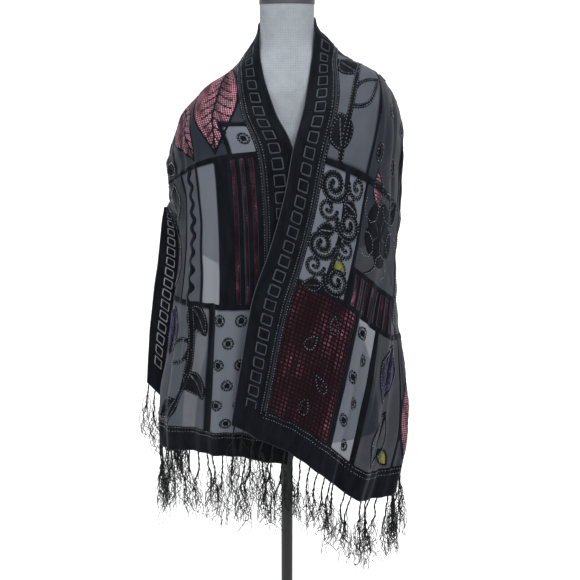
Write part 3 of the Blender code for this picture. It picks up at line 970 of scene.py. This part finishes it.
    def draw(self):
        """Draws the whole pattern."""
        black = self.fields["black"]
        for panel in PANELS:
            self.block("black", panel.low - BAR, panel.high + BAR,
                       panel.inner - BAR / 2, panel.outer + BAR / 2)
        for panel in PANELS:
            gap = self.box_gap(panel.low, panel.high, panel.inner, panel.outer)
            np.maximum(black, -gap, out=black)
            self.light[gap < 0.0] = TONE_OPENNESS_AND_LIGHT[panel.tone]
        for bar in BARS:
            self.block("black", *bar)
        for panel in PANELS:
            getattr(self, panel.holds)(panel)
        self.part_colours()
        self.borders()
        self.part_colours()


_kept = {}


def drape():
    """The cloth's net, made once."""
    if "drape" not in _kept:
        _kept["drape"] = Drape()
    return _kept["drape"]


def pattern():
    """The pattern, drawn once."""
    if "pattern" not in _kept:
        _kept["pattern"] = Pattern(drape())
        _kept["pattern"].draw()
    return _kept["pattern"]


def add_node(tree, kind, settings=(), inputs=()):
    """Adds a node, with its settings, and its inputs as values or as sockets to link from."""
    node = tree.nodes.new(kind)
    for name, value in dict(settings).items():
        setattr(node, name, value)
    for name, value in dict(inputs).items():
        if isinstance(value, bpy.types.NodeSocket):
            tree.links.new(value, node.inputs[name])
        else:
            node.inputs[name].default_value = value
    return node


def new_material(name, values):
    """A node material, its shader's plain numbers set."""
    material = bpy.data.materials.new(name)
    material.use_nodes = True
    shader = material.node_tree.nodes["Principled BSDF"]
    for socket, value in values.items():
        shader.inputs[socket].default_value = value
    return material, material.node_tree, shader


def ramp(tree, factor, stops):
    """A colour ramp with its stops given as place and linear colour."""
    node = add_node(tree, "ShaderNodeValToRGB", inputs={"Fac": factor})
    elements = node.color_ramp.elements
    while len(elements) < len(stops):
        elements.new(0.5)
    for element, (place, colour) in zip(elements, stops):
        element.position = place
        element.color = (*colour, 1.0)
    return node.outputs["Color"]


def shades(colour, stops):
    """Stops of one colour, each given as place and share of its light."""
    return [(place, tuple(part * share for part in colour)) for place, share in stops]


def bump(tree, shader, height, strength, distance):
    """Raises the surface's shading by a height."""
    node = add_node(tree, "ShaderNodeBump", inputs={"Height": height, "Strength": strength,
                                                    "Distance": distance})
    tree.links.new(node.outputs["Normal"], shader.inputs["Normal"])


def flat_place(tree):
    """The place on the flat cloth, in metres."""
    return add_node(tree, "ShaderNodeUVMap").outputs["UV"]


def object_place(tree):
    """The place in the object's own frame, in metres."""
    return add_node(tree, "ShaderNodeTexCoord").outputs["Object"]


def noise_height(tree, place, scale, detail=2.0, roughness=0.5):
    """An uneven height from noise."""
    return add_node(tree, "ShaderNodeTexNoise", inputs={
        "Vector": place, "Scale": scale, "Detail": detail,
        "Roughness": roughness}).outputs["Fac"]


def combined(tree, operation, *values):
    """The result of a sum of sockets and numbers."""
    return add_node(tree, "ShaderNodeMath", {"operation": operation},
                    dict(enumerate(values))).outputs[0]


def velvet_material(name, colour, stops, sheen, crush=0.016, net=0.0):
    """Rayon velvet pile, with the sheen of its nap painted into its colour: pale streaks of painted
    highlight over painted shade.

    Each stop is a place and a share of the colour's light. Its crushed streaks, of the given width,
    are painted highlights, and a net is the size of the squares that fine lines part the pile into.
    """
    material, tree, shader = new_material(name, {
        "Roughness": 0.72, "IOR": 1.47, "Specular IOR Level": 0.06, "Sheen Weight": sheen,
        "Sheen Roughness": 0.35, "Sheen Tint": (*linear("#8693a8"), 1.0)})
    place = flat_place(tree)
    # crushed streaks of painted highlight run down the cloth, nearly four times as long as they are
    # wide
    drawn = add_node(tree, "ShaderNodeMapping", inputs={"Vector": place,
                                                        "Scale": (1.0, 0.28, 1.0)})
    nap = noise_height(tree, drawn.outputs["Vector"], 1.0 / crush, 3.0, 0.6)
    # tufts are 0.5 mm across, too fine for the render, so they are drawn 2 to 3 mm across
    fibre = noise_height(tree, place, 420.0, 2.0, 0.7)
    mixed = add_node(tree, "ShaderNodeMix", {"data_type": "FLOAT"},
                     {"Factor": 0.40, "A": nap, "B": fibre})
    factor = mixed.outputs["Result"]
    if net:
        squares = add_node(tree, "ShaderNodeTexBrick", {"offset": 0.0, "squash": 1.0},
                           {"Vector": place, "Scale": 1.0, "Mortar Size": net * 0.22,
                            "Mortar Smooth": 0.5, "Brick Width": net, "Row Height": net,
                            "Color1": (1.0, 1.0, 1.0, 1.0), "Color2": (0.92, 0.92, 0.92, 1.0),
                            "Mortar": (0.36, 0.36, 0.36, 1.0)})
        factor = combined(tree, "MULTIPLY", factor, squares.outputs["Color"])
    # the ramp paints the nap's sheen into the base colour: its low stops are painted shade, its top
    # stop is painted highlight
    tree.links.new(ramp(tree, factor, shades(colour, stops)), shader.inputs["Base Color"])
    bump(tree, shader, fibre, 0.5, 0.0006)
    return material


def ground_material(colour, lit_thin_colour):
    """Sheer silk chiffon ground: a fine open weave that lets up to a tenth of the light through."""
    material, tree, shader = new_material("silk_chiffon_sheer", {
        "Roughness": 0.62, "IOR": 1.50, "Specular IOR Level": 0.12, "Sheen Weight": 0.06,
        "Sheen Roughness": 0.5})
    place = flat_place(tree)
    light = add_node(tree, "ShaderNodeAttribute", {"attribute_name": "light"})
    cloudy = noise_height(tree, place, 22.0, 4.0)
    # threads 0.2 mm apart are too fine for the render, so the weave is drawn 3 mm wide
    weave = add_node(tree, "ShaderNodeTexWave", {"bands_direction": "X"},
                     {"Vector": place, "Scale": 120.0, "Distortion": 1.5})
    # a thinner tone lets more light through and also makes the colour paler: the pale colour is
    # painted light, the dark one painted shade
    thinness_and_light = combined(tree, "MULTIPLY_ADD", cloudy, 0.3, light.outputs["Fac"])
    tree.links.new(ramp(tree, thinness_and_light, ((0.13, colour), (1.0, lit_thin_colour))),
                   shader.inputs["Base Color"])
    cover = add_node(tree, "ShaderNodeMapRange", inputs={
        "Value": thinness_and_light, "From Min": 0.15, "From Max": 1.15, "To Min": 0.985, "To Max": 0.92})
    tree.links.new(cover.outputs["Result"], shader.inputs["Alpha"])
    bump(tree, shader, weave.outputs["Fac"], 0.15, 0.0004)
    return material


def linen_material(colour):
    """Linen cover: pale crossed threads with slubs, pulled tight over the form."""
    material, tree, shader = new_material("form_linen_weave", {
        "Roughness": 0.86, "IOR": 1.50, "Specular IOR Level": 0.2, "Sheen Weight": 0.08,
        "Sheen Roughness": 0.5})
    place = object_place(tree)
    # threads 0.8 mm apart are too fine for the render, so they are drawn 3 mm apart
    level, upright = (
        add_node(tree, "ShaderNodeTexWave", {"bands_direction": way},
                 {"Vector": place, "Scale": 100.0, "Distortion": 2.5, "Detail": 2.0,
                  "Detail Scale": 2.0}).outputs["Fac"] for way in "ZX")
    crossed = combined(tree, "ADD", level, upright)
    slub = noise_height(tree, place, 30.0, 5.0, 0.65)
    height = combined(tree, "MULTIPLY_ADD", crossed, 0.22, slub)
    tree.links.new(ramp(tree, height, shades(colour, ((0.45, 0.72), (0.95, 1.0)))),
                   shader.inputs["Base Color"])
    bump(tree, shader, crossed, 0.35, 0.0006)
    return material


def grained_material(name, values, colour, stops, scale, detail=2.0, raised=None):
    """A material whose colour follows a fine grain, raised by a strength and a distance."""
    material, tree, shader = new_material(name, values)
    grain = noise_height(tree, object_place(tree), scale, detail)
    tree.links.new(ramp(tree, grain, shades(colour, stops)), shader.inputs["Base Color"])
    if raised:
        bump(tree, shader, grain, *raised)
    return material


def yarn_material(colour):
    """Rayon yarn: smooth dark fibres twisted together, a little glossy along the strand."""
    values = {"Roughness": 0.65, "IOR": 1.47, "Specular IOR Level": 0.15, "Sheen Weight": 0.05,
              "Sheen Roughness": 0.4}
    return grained_material("rayon_yarn", values, colour, ((0.3, 0.2), (0.8, 1.0)), 260.0,
                            raised=(0.4, 0.0003))


def bead_material(colour):
    """Black lustred seed beads: dark glass with a thin grey metal lustre."""
    values = {"Roughness": 0.22, "IOR": 1.52, "Metallic": 0.55}
    return grained_material("lustred_seed_glass", values, colour, ((0.35, 0.2), (0.70, 1.0)),
                            190.0)


def cap_material(colour):
    """Moulded ABS cap: satin black with a fine grain."""
    return grained_material("moulded_abs", {"Roughness": 0.45, "IOR": 1.53}, colour,
                            ((0.3, 0.7), (0.7, 1.0)), 900.0, raised=(0.2, 0.0002))


def steel_material(colour):
    """Powder coated steel: a matt dark skin with a slight orange peel."""
    values = {"Roughness": 0.5, "IOR": 1.5, "Specular IOR Level": 0.3}
    return grained_material("powder_coated_steel", values, colour, ((0.3, 0.6), (0.7, 1.0)),
                            500.0, 3.0, (0.3, 0.0003))


def add_piece(name, points, faces, places=None, smooth=True):
    """A mesh from its points and faces, with their places on the flat cloth as its UV map."""
    mesh = bpy.data.meshes.new(name)
    mesh.from_pydata(points, [], faces)
    if places is not None:
        corners = np.zeros(len(mesh.loops), int)
        mesh.loops.foreach_get("vertex_index", corners)
        layer = mesh.uv_layers.new(name="flat_cloth")
        layer.data.foreach_set("uv", places[corners].astype(np.float32).ravel())
    if smooth:
        mesh.shade_smooth()
    mesh.update()
    piece = bpy.data.objects.new(name, mesh)
    bpy.context.scene.collection.objects.link(piece)
    return piece


def dress(piece, material):
    """Gives a piece its material and the body it rides on."""
    piece.data.materials.clear()
    piece.data.materials.append(material)
    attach(piece, "root")


def add_ground():
    """The sheer ground of the whole shawl."""
    net = drape()
    drawn = pattern()
    rows = np.arange(0, len(net.along), GROUND_SKIP)
    columns = np.arange(0, len(net.across), GROUND_SKIP)
    points = net.points[np.ix_(rows, columns)]
    numbers = np.arange(len(rows) * len(columns)).reshape(len(rows), len(columns))
    faces = np.stack((numbers[:-1, :-1], numbers[1:, :-1], numbers[1:, 1:], numbers[:-1, 1:]),
                     axis=-1).reshape(-1, 4)
    along, across = np.meshgrid(net.along[rows], net.across[columns], indexing="ij")
    places = np.stack((across.ravel(), along.ravel()), axis=1)
    piece = add_piece("shawl_ground", points.reshape(-1, 3), faces.tolist(), places)
    light = piece.data.attributes.new("light", "FLOAT", "POINT")
    light.data.foreach_set("value", drawn.light[np.ix_(rows, columns)].ravel()
                           .astype(np.float32))
    return piece


def pile_parts(field, first, last):
    """The cells of the net inside a field between two rows, and which of its points they use."""
    cells = (field[:-1, :-1] + field[1:, :-1] + field[:-1, 1:] + field[1:, 1:]) < 0.0
    cells[:first] = False
    cells[last:] = False
    used = np.zeros(field.shape, bool)
    whole = np.ones(field.shape, bool)
    for row in (slice(0, -1), slice(1, None)):
        for column in (slice(0, -1), slice(1, None)):
            used[row, column] |= cells
            whole[row, column] &= cells
    whole[0] = whole[-1] = False
    whole[:, 0] = whole[:, -1] = False
    return cells, used, whole


def add_pile(name, field, first, last, lift, sink):
    """One colour of pile as a low closed slab that lies through the ground.

    The points at its rim are moved to where the field is nought, so that its outline is smooth.
    """
    net = drape()
    cells, used, whole = pile_parts(field, first, last)
    if not cells.any():
        return None
    slope_along, slope_across = np.gradient(field, NET_STEP)
    rows, columns = np.nonzero(used)
    slope_along = slope_along[rows, columns]
    slope_across = slope_across[rows, columns]
    steepness = np.maximum(LEAST_STEEPNESS, slope_along ** 2 + slope_across ** 2)
    inner = whole[rows, columns]
    move = np.where(inner, 0.0, -field[rows, columns] / steepness)
    move = np.clip(move, -RIM_MOVE, RIM_MOVE)
    along = np.clip(net.along[rows] + move * slope_along, net.along[first], net.along[last])
    across = np.clip(net.across[columns] + move * slope_across, 0.0, WIDTH)
    top = net.at(along, across, np.where(inner, lift, lift * 0.5))
    low = net.at(along, across, -sink)
    numbers = np.full(field.shape, -1)
    numbers[rows, columns] = np.arange(len(rows))
    cell_rows, cell_columns = np.nonzero(cells)
    corners = np.stack((numbers[cell_rows, cell_columns], numbers[cell_rows + 1, cell_columns],
                        numbers[cell_rows + 1, cell_columns + 1],
                        numbers[cell_rows, cell_columns + 1]), axis=1)
    faces = [corners, corners[:, ::-1] + len(rows)]
    padded = np.pad(cells, 1)
    # a wall stands where a cell has no neighbour: the step to it, and the cell's two corners there
    for row_step, column_step, start, end in ((0, -1, 0, 1), (1, 0, 1, 2), (0, 1, 2, 3),
                                              (-1, 0, 3, 0)):
        beyond = padded[cell_rows + 1 + row_step, cell_columns + 1 + column_step]
        rim = corners[~beyond][:, (end, start)]
        faces.append(np.concatenate((rim, rim[:, ::-1] + len(rows)), axis=1))
    places = np.stack((across, along), axis=1)
    return add_piece(name, np.concatenate((top, low)), np.concatenate(faces).tolist(),
                     np.concatenate((places, places)))


def even_places(line, pitch):
    """Places at an even pitch along a line."""
    gaps = np.hypot(*np.diff(line, axis=0).T)
    reach = np.concatenate(((0.0,), np.cumsum(gaps)))
    count = max(1, int(reach[-1] / pitch))
    wanted = (np.arange(count) + 0.5) * reach[-1] / count
    return np.stack((np.interp(wanted, reach, line[:, 0]),
                     np.interp(wanted, reach, line[:, 1])), axis=1)


def kept_apart(places, least):
    """Leaves out a place that is too near an earlier one."""
    taken = {}
    kept = []
    for place in places:
        cell = (math.floor(place[0] / least), math.floor(place[1] / least))
        near = [taken[key] for key in ((cell[0] + row, cell[1] + column)
                                       for row in (-1, 0, 1) for column in (-1, 0, 1))
                if key in taken]
        if all(math.dist(place, other) >= least for other in near):
            taken[cell] = place
            kept.append(place)
    return np.array(kept)


def active_piece(name):
    """Names the object that was just added, and applies where it was put."""
    piece = bpy.context.active_object
    piece.name = name
    piece.data.name = name
    bpy.ops.object.transform_apply(location=True, rotation=True, scale=True)
    return piece


def select_edges(mesh, wanted):
    """Selects, in edit mode, just the edges whose two ends are wanted."""
    bpy.ops.mesh.select_all(action="DESELECT")
    shape = bmesh.from_edit_mesh(mesh)
    for edge in shape.edges:
        if all(wanted(end.co) for end in edge.verts):
            edge.select_set(True)
    bmesh.update_edit_mesh(mesh)


def bead_shape(radius):
    """One seed bead's points and faces."""
    bpy.ops.object.select_all(action="DESELECT")
    bpy.ops.mesh.primitive_ico_sphere_add(subdivisions=1, radius=radius, location=(0, 0, 0))
    bead = bpy.context.active_object
    mesh = bead.data
    points = np.array([point.co for point in mesh.vertices])
    faces = np.array([face.vertices for face in mesh.polygons])
    bpy.data.objects.remove(bead, do_unlink=True)
    bpy.data.meshes.remove(mesh)
    return points, faces


def strand_path(start, way, length, steps, sway, kink, rng):
    """A strand's points, hanging from its start with kinks that grow downwards."""
    points = [start]
    lean = Vector((rng.uniform(-1, 1), rng.uniform(-1, 1), 0.0)) * sway
    bend = Vector((0.0, 0.0, 0.0))
    hold = rng.uniform(0.45, 0.75)
    for step in range(1, steps + 1):
        share = step / steps
        pull = way * (1.0 - share) + Vector((0.0, 0.0, -1.0)) * share
        bend = bend * hold + Vector((rng.gauss(0, 1), rng.gauss(0, 1), 0.35 * rng.gauss(0, 1)))
        move = pull.normalized() + lean * share + bend * kink * (0.4 + share)
        point = points[-1] + move * (length / steps)
        astray = Vector((point.x - start.x, point.y - start.y, 0.0))
        if astray.length > STRAND_REACH:
            point -= astray * (1.0 - STRAND_REACH / astray.length)
        points.append(point)
    return points


def add_yarns(name, yarns):
    """Round yarns as one curve with a bevel, made a mesh. Each is its points and its radii."""
    curve = bpy.data.curves.new(name, "CURVE")
    curve.dimensions = "3D"
    curve.bevel_depth = 1.0
    curve.bevel_resolution = 0
    curve.use_fill_caps = True
    for points, radii in yarns:
        spline = curve.splines.new("POLY")
        spline.points.add(len(points) - 1)
        for knot, point, radius in zip(spline.points, points, radii):
            knot.co = (*point, 1.0)
            knot.radius = radius
    piece = bpy.data.objects.new(name, curve)
    bpy.context.scene.collection.objects.link(piece)
    bpy.ops.object.select_all(action="DESELECT")
    piece.select_set(True)
    bpy.context.view_layer.objects.active = piece
    bpy.ops.object.convert(target="MESH")
    piece = bpy.context.active_object
    piece.data.shade_smooth()
    return piece


def add_fringe(name, side, settings):
    """One end's fringe: twisted groups that fray into thin kinked threads."""
    net = drape()
    rng = random.Random(settings.fringe_seed + side)
    row = len(net.along) - 1 if side > 0 else 0
    inward = row - side * 2
    yarns = []
    count = settings.fringe_groups
    for group in range(count):
        across = (group + 0.5 + rng.uniform(-0.2, 0.2)) * WIDTH / count
        column = min(len(net.across) - 1, round(across / NET_STEP))
        top = Vector(net.points[row, column])
        way = (top - Vector(net.points[inward, column])).normalized()
        length = settings.fringe_length * rng.uniform(0.88, 1.10)
        middle = strand_path(top, way, length * rng.uniform(0.32, 0.55), TWIST_STEPS, TWIST_SWAY,
                             TWIST_KINK, rng)
        turn = rng.uniform(0.0, 6.0)
        for half in (0, 1):
            angles = [turn + half * math.pi + index * TWIST_TURN for index in range(len(middle))]
            points = [point + Vector((math.cos(angle), math.sin(angle), 0.0)) * TWIST_RADIUS
                      for point, angle in zip(middle, angles)]
            yarns.append((points, [settings.yarn_radius] * len(points)))
        for _thread in range(settings.fringe_threads):
            root = middle[rng.choice(THREAD_ROOTS)]
            spread = Vector((rng.gauss(0, 1), rng.gauss(0, 1), 0.0)) * THREAD_SPREAD
            fall = (top.z - length * rng.uniform(0.80, 1.12)) - root.z
            points = strand_path(root + spread, Vector((0.0, 0.0, -1.0)), -fall, THREAD_STEPS,
                                 THREAD_SWAY, THREAD_KINK, rng)
            radius = settings.yarn_radius * rng.uniform(0.36, 0.58)
            yarns.append((points, [radius] * (len(points) - 1) + [radius * 0.5]))
    return add_yarns(name, yarns)


def add_cylinder(name, sides, radius, low, high):
    """A capped cylinder between two heights."""
    bpy.ops.object.select_all(action="DESELECT")
    bpy.ops.mesh.primitive_cylinder_add(vertices=sides, radius=radius, depth=high - low,
                                        location=(0.0, 0.0, (low + high) / 2))
    return active_piece(name)


def add_round(name, sides, radius, low, high, top_bevel, low_bevel):
    """A turned piece: a cylinder with its top and bottom edges rounded."""
    piece = add_cylinder(name, sides, radius, low, high)
    for height, bevel in ((high, top_bevel), (low, low_bevel)):
        bpy.ops.object.mode_set(mode="EDIT")
        select_edges(piece.data, lambda place: abs(place.z - height) < LEVEL_TOLERANCE)
        bpy.ops.mesh.bevel(offset=bevel, segments=4, affect="EDGES")
        bpy.ops.object.mode_set(mode="OBJECT")
    bpy.ops.object.shade_smooth_by_angle(angle=math.radians(40.0))
    return piece


def add_form():
    """The torso and neck: a cylinder cut into rings that are set to the form's levels."""
    piece = add_cylinder("linen_form", FORM_SIDES, 0.1, LEVELS[-1].height, LEVELS[0].height)
    bpy.ops.object.mode_set(mode="EDIT")
    for height in form_heights()[1:-1]:
        bpy.ops.mesh.select_all(action="SELECT")
        bpy.ops.mesh.bisect(plane_co=(0.0, 0.0, height), plane_no=(0.0, 0.0, 1.0))
    bpy.ops.object.mode_set(mode="OBJECT")
    for point in piece.data.vertices:
        point.co = form_point(math.atan2(point.co.x, -point.co.y), point.co.z)
    bpy.ops.object.shade_smooth_by_angle(angle=math.radians(50.0))
    return piece


def length_setting(name, default, low, high, description):
    """A length that the user can change."""
    return bpy.props.FloatProperty(name=name, description=description, default=default, min=low,
                                   max=high, unit="LENGTH")


def count_setting(name, default, low, high, description):
    """A number of things that the user can change."""
    return bpy.props.IntProperty(name=name, description=description, default=default, min=low,
                                 max=high)


class ShawlSizes(bpy.types.PropertyGroup):
    """Sizes of the shawl's fine parts."""

    pile_lift: length_setting("Pile height", 0.0009, 0.0003, 0.003,
                              "How far the pile stands over the ground")
    pile_sink: length_setting("Pile depth", 0.00025, 0.0001, 0.001,
                              "How far the pile shows on the cloth's inner side")
    bead_radius: length_setting("Bead radius", 0.0012, 0.0004, 0.002, "Radius of a seed bead")
    bead_pitch: length_setting("Bead pitch", 0.0052, 0.002, 0.01,
                               "How far apart the beads are sewn")
    fringe_groups: count_setting("Fringe groups", 27, 8, 60,
                                 "Twisted groups in each end's fringe")
    fringe_threads: count_setting("Threads a group", 15, 2, 20,
                                  "Thin threads that each group frays into")
    fringe_length: length_setting("Fringe length", 0.128, 0.04, 0.2,
                                  "Length of the fringe below the hem")
    yarn_radius: length_setting("Yarn radius", 0.0012, 0.0003, 0.003, "Radius of a fringe yarn")
    fringe_seed: count_setting("Fringe seed", 7, 0, 1000, "Seed of the fringe's kinks")


def colour_setting(name, hex_colour, description):
    """A colour that the user can change."""
    return bpy.props.FloatVectorProperty(name=name, description=description, subtype="COLOR",
                                         size=3, default=linear(hex_colour), min=0.0, max=1.0)


class ShawlColours(bpy.types.PropertyGroup):
    """Colours of the shawl and its form."""

    ground: colour_setting("Ground", "#191e27", "The sheer ground")
    # the light ground is the sheer's painted lit tone, used where it is thinner
    lit_thin_ground: colour_setting("Light ground", "#5c616a",
                                 "The sheer ground where it is thinner")
    # each velvet's colour is the top of its ramp: its painted highlight, where the nap catches light
    black: colour_setting("Black velvet", "#14181f", "The black pile's raised nap")
    rose: colour_setting("Rose velvet", "#c48799", "The rose pile's raised nap")
    burgundy: colour_setting("Burgundy velvet", "#955c70", "The burgundy pile's raised nap")
    violet: colour_setting("Violet velvet", "#67638c", "The violet pile's raised nap")
    lime: colour_setting("Lime velvet", "#9a9c52", "The lime pile's raised nap")
    beads: colour_setting("Beads", "#8d9298", "The beads' lustre")
    yarn: colour_setting("Fringe", "#15181b", "The fringe's yarn")
    linen: colour_setting("Form cover", "#93999f", "The form's linen")
    cap: colour_setting("Neck cap", "#3d4046", "The cap on the neck")
    stand: colour_setting("Stand", "#16181a", "The pole and base")


class SHAWL_OT_form(bpy.types.Operator):
    """Adds the linen covered form"""

    bl_idname = "shawl.add_form"
    bl_label = "Add the dress form"

    def execute(self, context):
        piece = add_form()
        dress(piece, linen_material(context.scene.shawl_colours.linen))
        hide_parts("form_torso")
        return {"FINISHED"}


class SHAWL_OT_stand(bpy.types.Operator):
    """Adds the neck cap, the pole and the round base"""

    bl_idname = "shawl.add_stand"
    bl_label = "Add the cap and stand"

    def execute(self, context):
        colours = context.scene.shawl_colours
        steel = steel_material(colours.stand)
        for name, node, sides, top_bevel, low_bevel in (
                ("cap_disc", "neck_cap", 96, 0.005, 0.001),
                ("stand_pole", "pole", 48, 0.001, 0.001),
                ("stand_plate", "base", 128, 0.004, 0.0012)):
            low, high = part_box(node)
            piece = add_round(name, sides, high.x, low.z, high.z, top_bevel, low_bevel)
            if node == "neck_cap":
                dress(piece, cap_material(colours.cap))
            else:
                dress(piece, steel)
            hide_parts(node)
        return {"FINISHED"}


class SHAWL_OT_ground(bpy.types.Operator):
    """Adds the shawl's sheer ground"""

    bl_idname = "shawl.add_ground"
    bl_label = "Add the sheer ground"

    def execute(self, context):
        colours = context.scene.shawl_colours
        ground = add_ground()
        dress(ground, ground_material(colours.ground, colours.lit_thin_ground))
        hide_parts("shawl_left_front", "shawl_back", "shawl_right_front")
        return {"FINISHED"}


class SHAWL_OT_pile(bpy.types.Operator):
    """Adds each colour's velvet pile, the black one in three stretches"""

    bl_idname = "shawl.add_pile"
    bl_label = "Add the velvet pile"

    def execute(self, context):
        colours = context.scene.shawl_colours
        last = len(drape().along) - 1
        left = round((LEFT_LENGTH - BACK_HALF) / NET_STEP)
        right = round((LEFT_LENGTH + BACK_HALF) / NET_STEP)
        for nap in NAPS:
            material = velvet_material(f"{nap.pile}_rayon_velvet", getattr(colours, nap.colour),
                                       nap.stops, nap.sheen, nap.crush, nap.net)
            if nap.pile == "black":
                self.add_stretch(context, "black_pile_left", nap, 0, left, material)
                self.add_stretch(context, "black_pile_back", nap, left, right, material)
                self.add_stretch(context, "black_pile_right", nap, right, last, material)
            else:
                self.add_stretch(context, f"{nap.pile}_pile", nap, 0, last, material)
        return {"FINISHED"}

    def add_stretch(self, context, name, nap, first, last, material):
        """One colour's pile between two rows of the net."""
        sizes = context.scene.shawl_sizes
        piece = add_pile(name, pattern().fields[nap.pile], first, last, sizes.pile_lift,
                         sizes.pile_sink)
        if piece is None:
            raise RuntimeError(f"the pattern has no {nap.pile} pile")
        dress(piece, material)


class SHAWL_OT_beads(bpy.types.Operator):
    """Sews the seed beads on, as one piece"""

    bl_idname = "shawl.add_beads"
    bl_label = "Add the seed beads"

    def execute(self, context):
        sizes = context.scene.shawl_sizes
        lines = [even_places(line, sizes.bead_pitch) for line in pattern().bead_lines]
        places = kept_apart(np.concatenate(lines), sizes.bead_pitch * BEAD_ROOM)
        points, faces = bead_shape(sizes.bead_radius)
        centres = drape().at(places[:, 0], places[:, 1], BEAD_LIFT)
        every = (centres[:, None, :] + points[None, :, :]).reshape(-1, 3)
        shift = np.arange(len(centres))[:, None, None] * len(points)
        every_face = (faces[None, :, :] + shift).reshape(-1, 3)
        piece = add_piece("seed_beads", every, every_face.tolist())
        dress(piece, bead_material(context.scene.shawl_colours.beads))
        return {"FINISHED"}


class SHAWL_OT_fringe(bpy.types.Operator):
    """Adds the fringe at both ends"""

    bl_idname = "shawl.add_fringe"
    bl_label = "Add the fringes"

    def execute(self, context):
        yarn = yarn_material(context.scene.shawl_colours.yarn)
        for name, node, side in (("left_fringe", "fringe_left", -1),
                                 ("right_fringe", "fringe_right", 1)):
            piece = add_fringe(name, side, context.scene.shawl_sizes)
            dress(piece, yarn)
            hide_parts(node)
        return {"FINISHED"}


class SHAWL_OT_drape(bpy.types.Operator):
    """Makes sure that all the shawl's pieces are there"""

    bl_idname = "shawl.set_drape"
    bl_label = "Note how the shawl hangs"

    def execute(self, context):
        pieces = [context.scene.objects.get(name) for name in SHAWL_PIECES]
        if None in pieces:
            raise RuntimeError("add the ground, pile, beads and fringes first")
        return {"FINISHED"}


class SHAWL_OT_stage(bpy.types.Operator):
    """Adds the floor, the lights and the camera"""

    bl_idname = "shawl.add_stage"
    bl_label = "Add the stage"

    def execute(self, context):
        scene = context.scene
        self.add_floor()
        self.add_camera(scene)
        self.add_lights(scene)
        world = scene.world or bpy.data.worlds.new("studio")
        scene.world = world
        world.use_nodes = True
        sky = world.node_tree.nodes["Background"]
        sky.inputs["Color"].default_value = (1.0, 1.0, 1.0, 1.0)
        # the sky lights the shawl weakly and still shows as a white backdrop
        rays = add_node(world.node_tree, "ShaderNodeLightPath")
        strength = add_node(world.node_tree, "ShaderNodeMapRange", inputs={
            "Value": rays.outputs["Is Camera Ray"], "To Min": WORLD_STRENGTH, "To Max": 1.0})
        world.node_tree.links.new(strength.outputs["Result"], sky.inputs["Strength"])
        scene.view_settings.view_transform = "Standard"
        return {"FINISHED"}

    def add_floor(self):
        """A pale floor that curves up into a wall behind."""
        bpy.ops.object.select_all(action="DESELECT")
        bpy.ops.mesh.primitive_plane_add(size=FLOOR_SIZE, location=FLOOR_PLACE)
        floor = active_piece("studio_floor")
        bpy.ops.object.mode_set(mode="EDIT")
        select_edges(floor.data, lambda place: place.y > 0.0)
        bpy.ops.mesh.extrude_region_move(
            TRANSFORM_OT_translate={"value": (0.0, 0.0, WALL_HEIGHT)})
        select_edges(floor.data, lambda place: place.y > 0.0 and place.z < WALL_HEIGHT / 2)
        bpy.ops.mesh.bevel(offset=WALL_BEND, segments=24, affect="EDGES")
        bpy.ops.object.mode_set(mode="OBJECT")
        bpy.ops.object.shade_smooth()
        # the paint glows a little, which keeps the backdrop white under the weak sky
        material, tree, shader = new_material("matt_white_paint", {
            "Roughness": 0.9, "Specular IOR Level": 0.1,
            "Emission Color": (1.0, 1.0, 1.0, 1.0), "Emission Strength": 0.55})
        cloudy = noise_height(tree, object_place(tree), 2.0)
        colour = ramp(tree, cloudy, ((0.3, linear("#f4f4f4")), (0.7, linear("#f8f8f8"))))
        tree.links.new(colour, shader.inputs["Base Color"])
        floor.data.materials.append(material)

    def add_camera(self, scene):
        """The photograph's view: level with the neck, looking down a little."""
        data = bpy.data.cameras.new("photo_camera")
        data.sensor_width = 36.0
        data.lens = CAMERA_LENS
        data.shift_x = CAMERA_SHIFT
        camera = bpy.data.objects.new("photo_camera", data)
        scene.collection.objects.link(camera)
        camera.location = CAMERA_PLACE
        camera.rotation_euler = (math.radians(90.0 - CAMERA_DOWN), 0.0, 0.0)
        scene.camera = camera

    def add_lights(self, scene):
        """Two large soft lights in front and one over the form."""
        for row in LIGHTS:
            data = bpy.data.lights.new(row.name, "AREA")
            data.size = row.size
            data.energy = row.watts
            light = bpy.data.objects.new(row.name, data)
            light.location = row.place
            way = Vector(row.aim) - Vector(row.place)
            light.rotation_euler = way.to_track_quat("-Z", "Y").to_euler()
            scene.collection.objects.link(light)


class SHAWL_PT_pieces(bpy.types.Panel):
    """Lists the sizes, the colours and the pieces"""

    bl_idname = "SHAWL_PT_pieces"
    bl_label = "Devore velvet shawl"
    bl_space_type = "VIEW_3D"
    bl_region_type = "UI"
    bl_category = "Shawl"

    def draw(self, context):
        layout = self.layout
        for group in (context.scene.shawl_sizes, context.scene.shawl_colours):
            for name in group.__annotations__:
                layout.prop(group, name)
        for operator in OPERATORS:
            layout.operator(operator.bl_idname)


OPERATORS = (SHAWL_OT_form, SHAWL_OT_stand, SHAWL_OT_ground, SHAWL_OT_pile, SHAWL_OT_beads,
             SHAWL_OT_fringe, SHAWL_OT_drape, SHAWL_OT_stage)
CLASSES = (ShawlSizes, ShawlColours, *OPERATORS, SHAWL_PT_pieces)


def register():
    """Adds the classes and their settings to Blender."""
    for item in CLASSES:
        bpy.utils.register_class(item)
    bpy.types.Scene.shawl_sizes = bpy.props.PointerProperty(type=ShawlSizes)
    bpy.types.Scene.shawl_colours = bpy.props.PointerProperty(type=ShawlColours)


def unregister():
    """Takes them out again."""
    del bpy.types.Scene.shawl_colours
    del bpy.types.Scene.shawl_sizes
    for item in reversed(CLASSES):
        bpy.utils.unregister_class(item)


def main():
    """Builds every piece in order."""
    register()
    bpy.ops.shawl.add_form()
    bpy.ops.shawl.add_stand()
    bpy.ops.shawl.add_ground()
    bpy.ops.shawl.add_pile()
    bpy.ops.shawl.add_beads()
    bpy.ops.shawl.add_fringe()
    bpy.ops.shawl.set_drape()
    bpy.ops.shawl.add_stage()


if __name__ == "__main__":
    main()
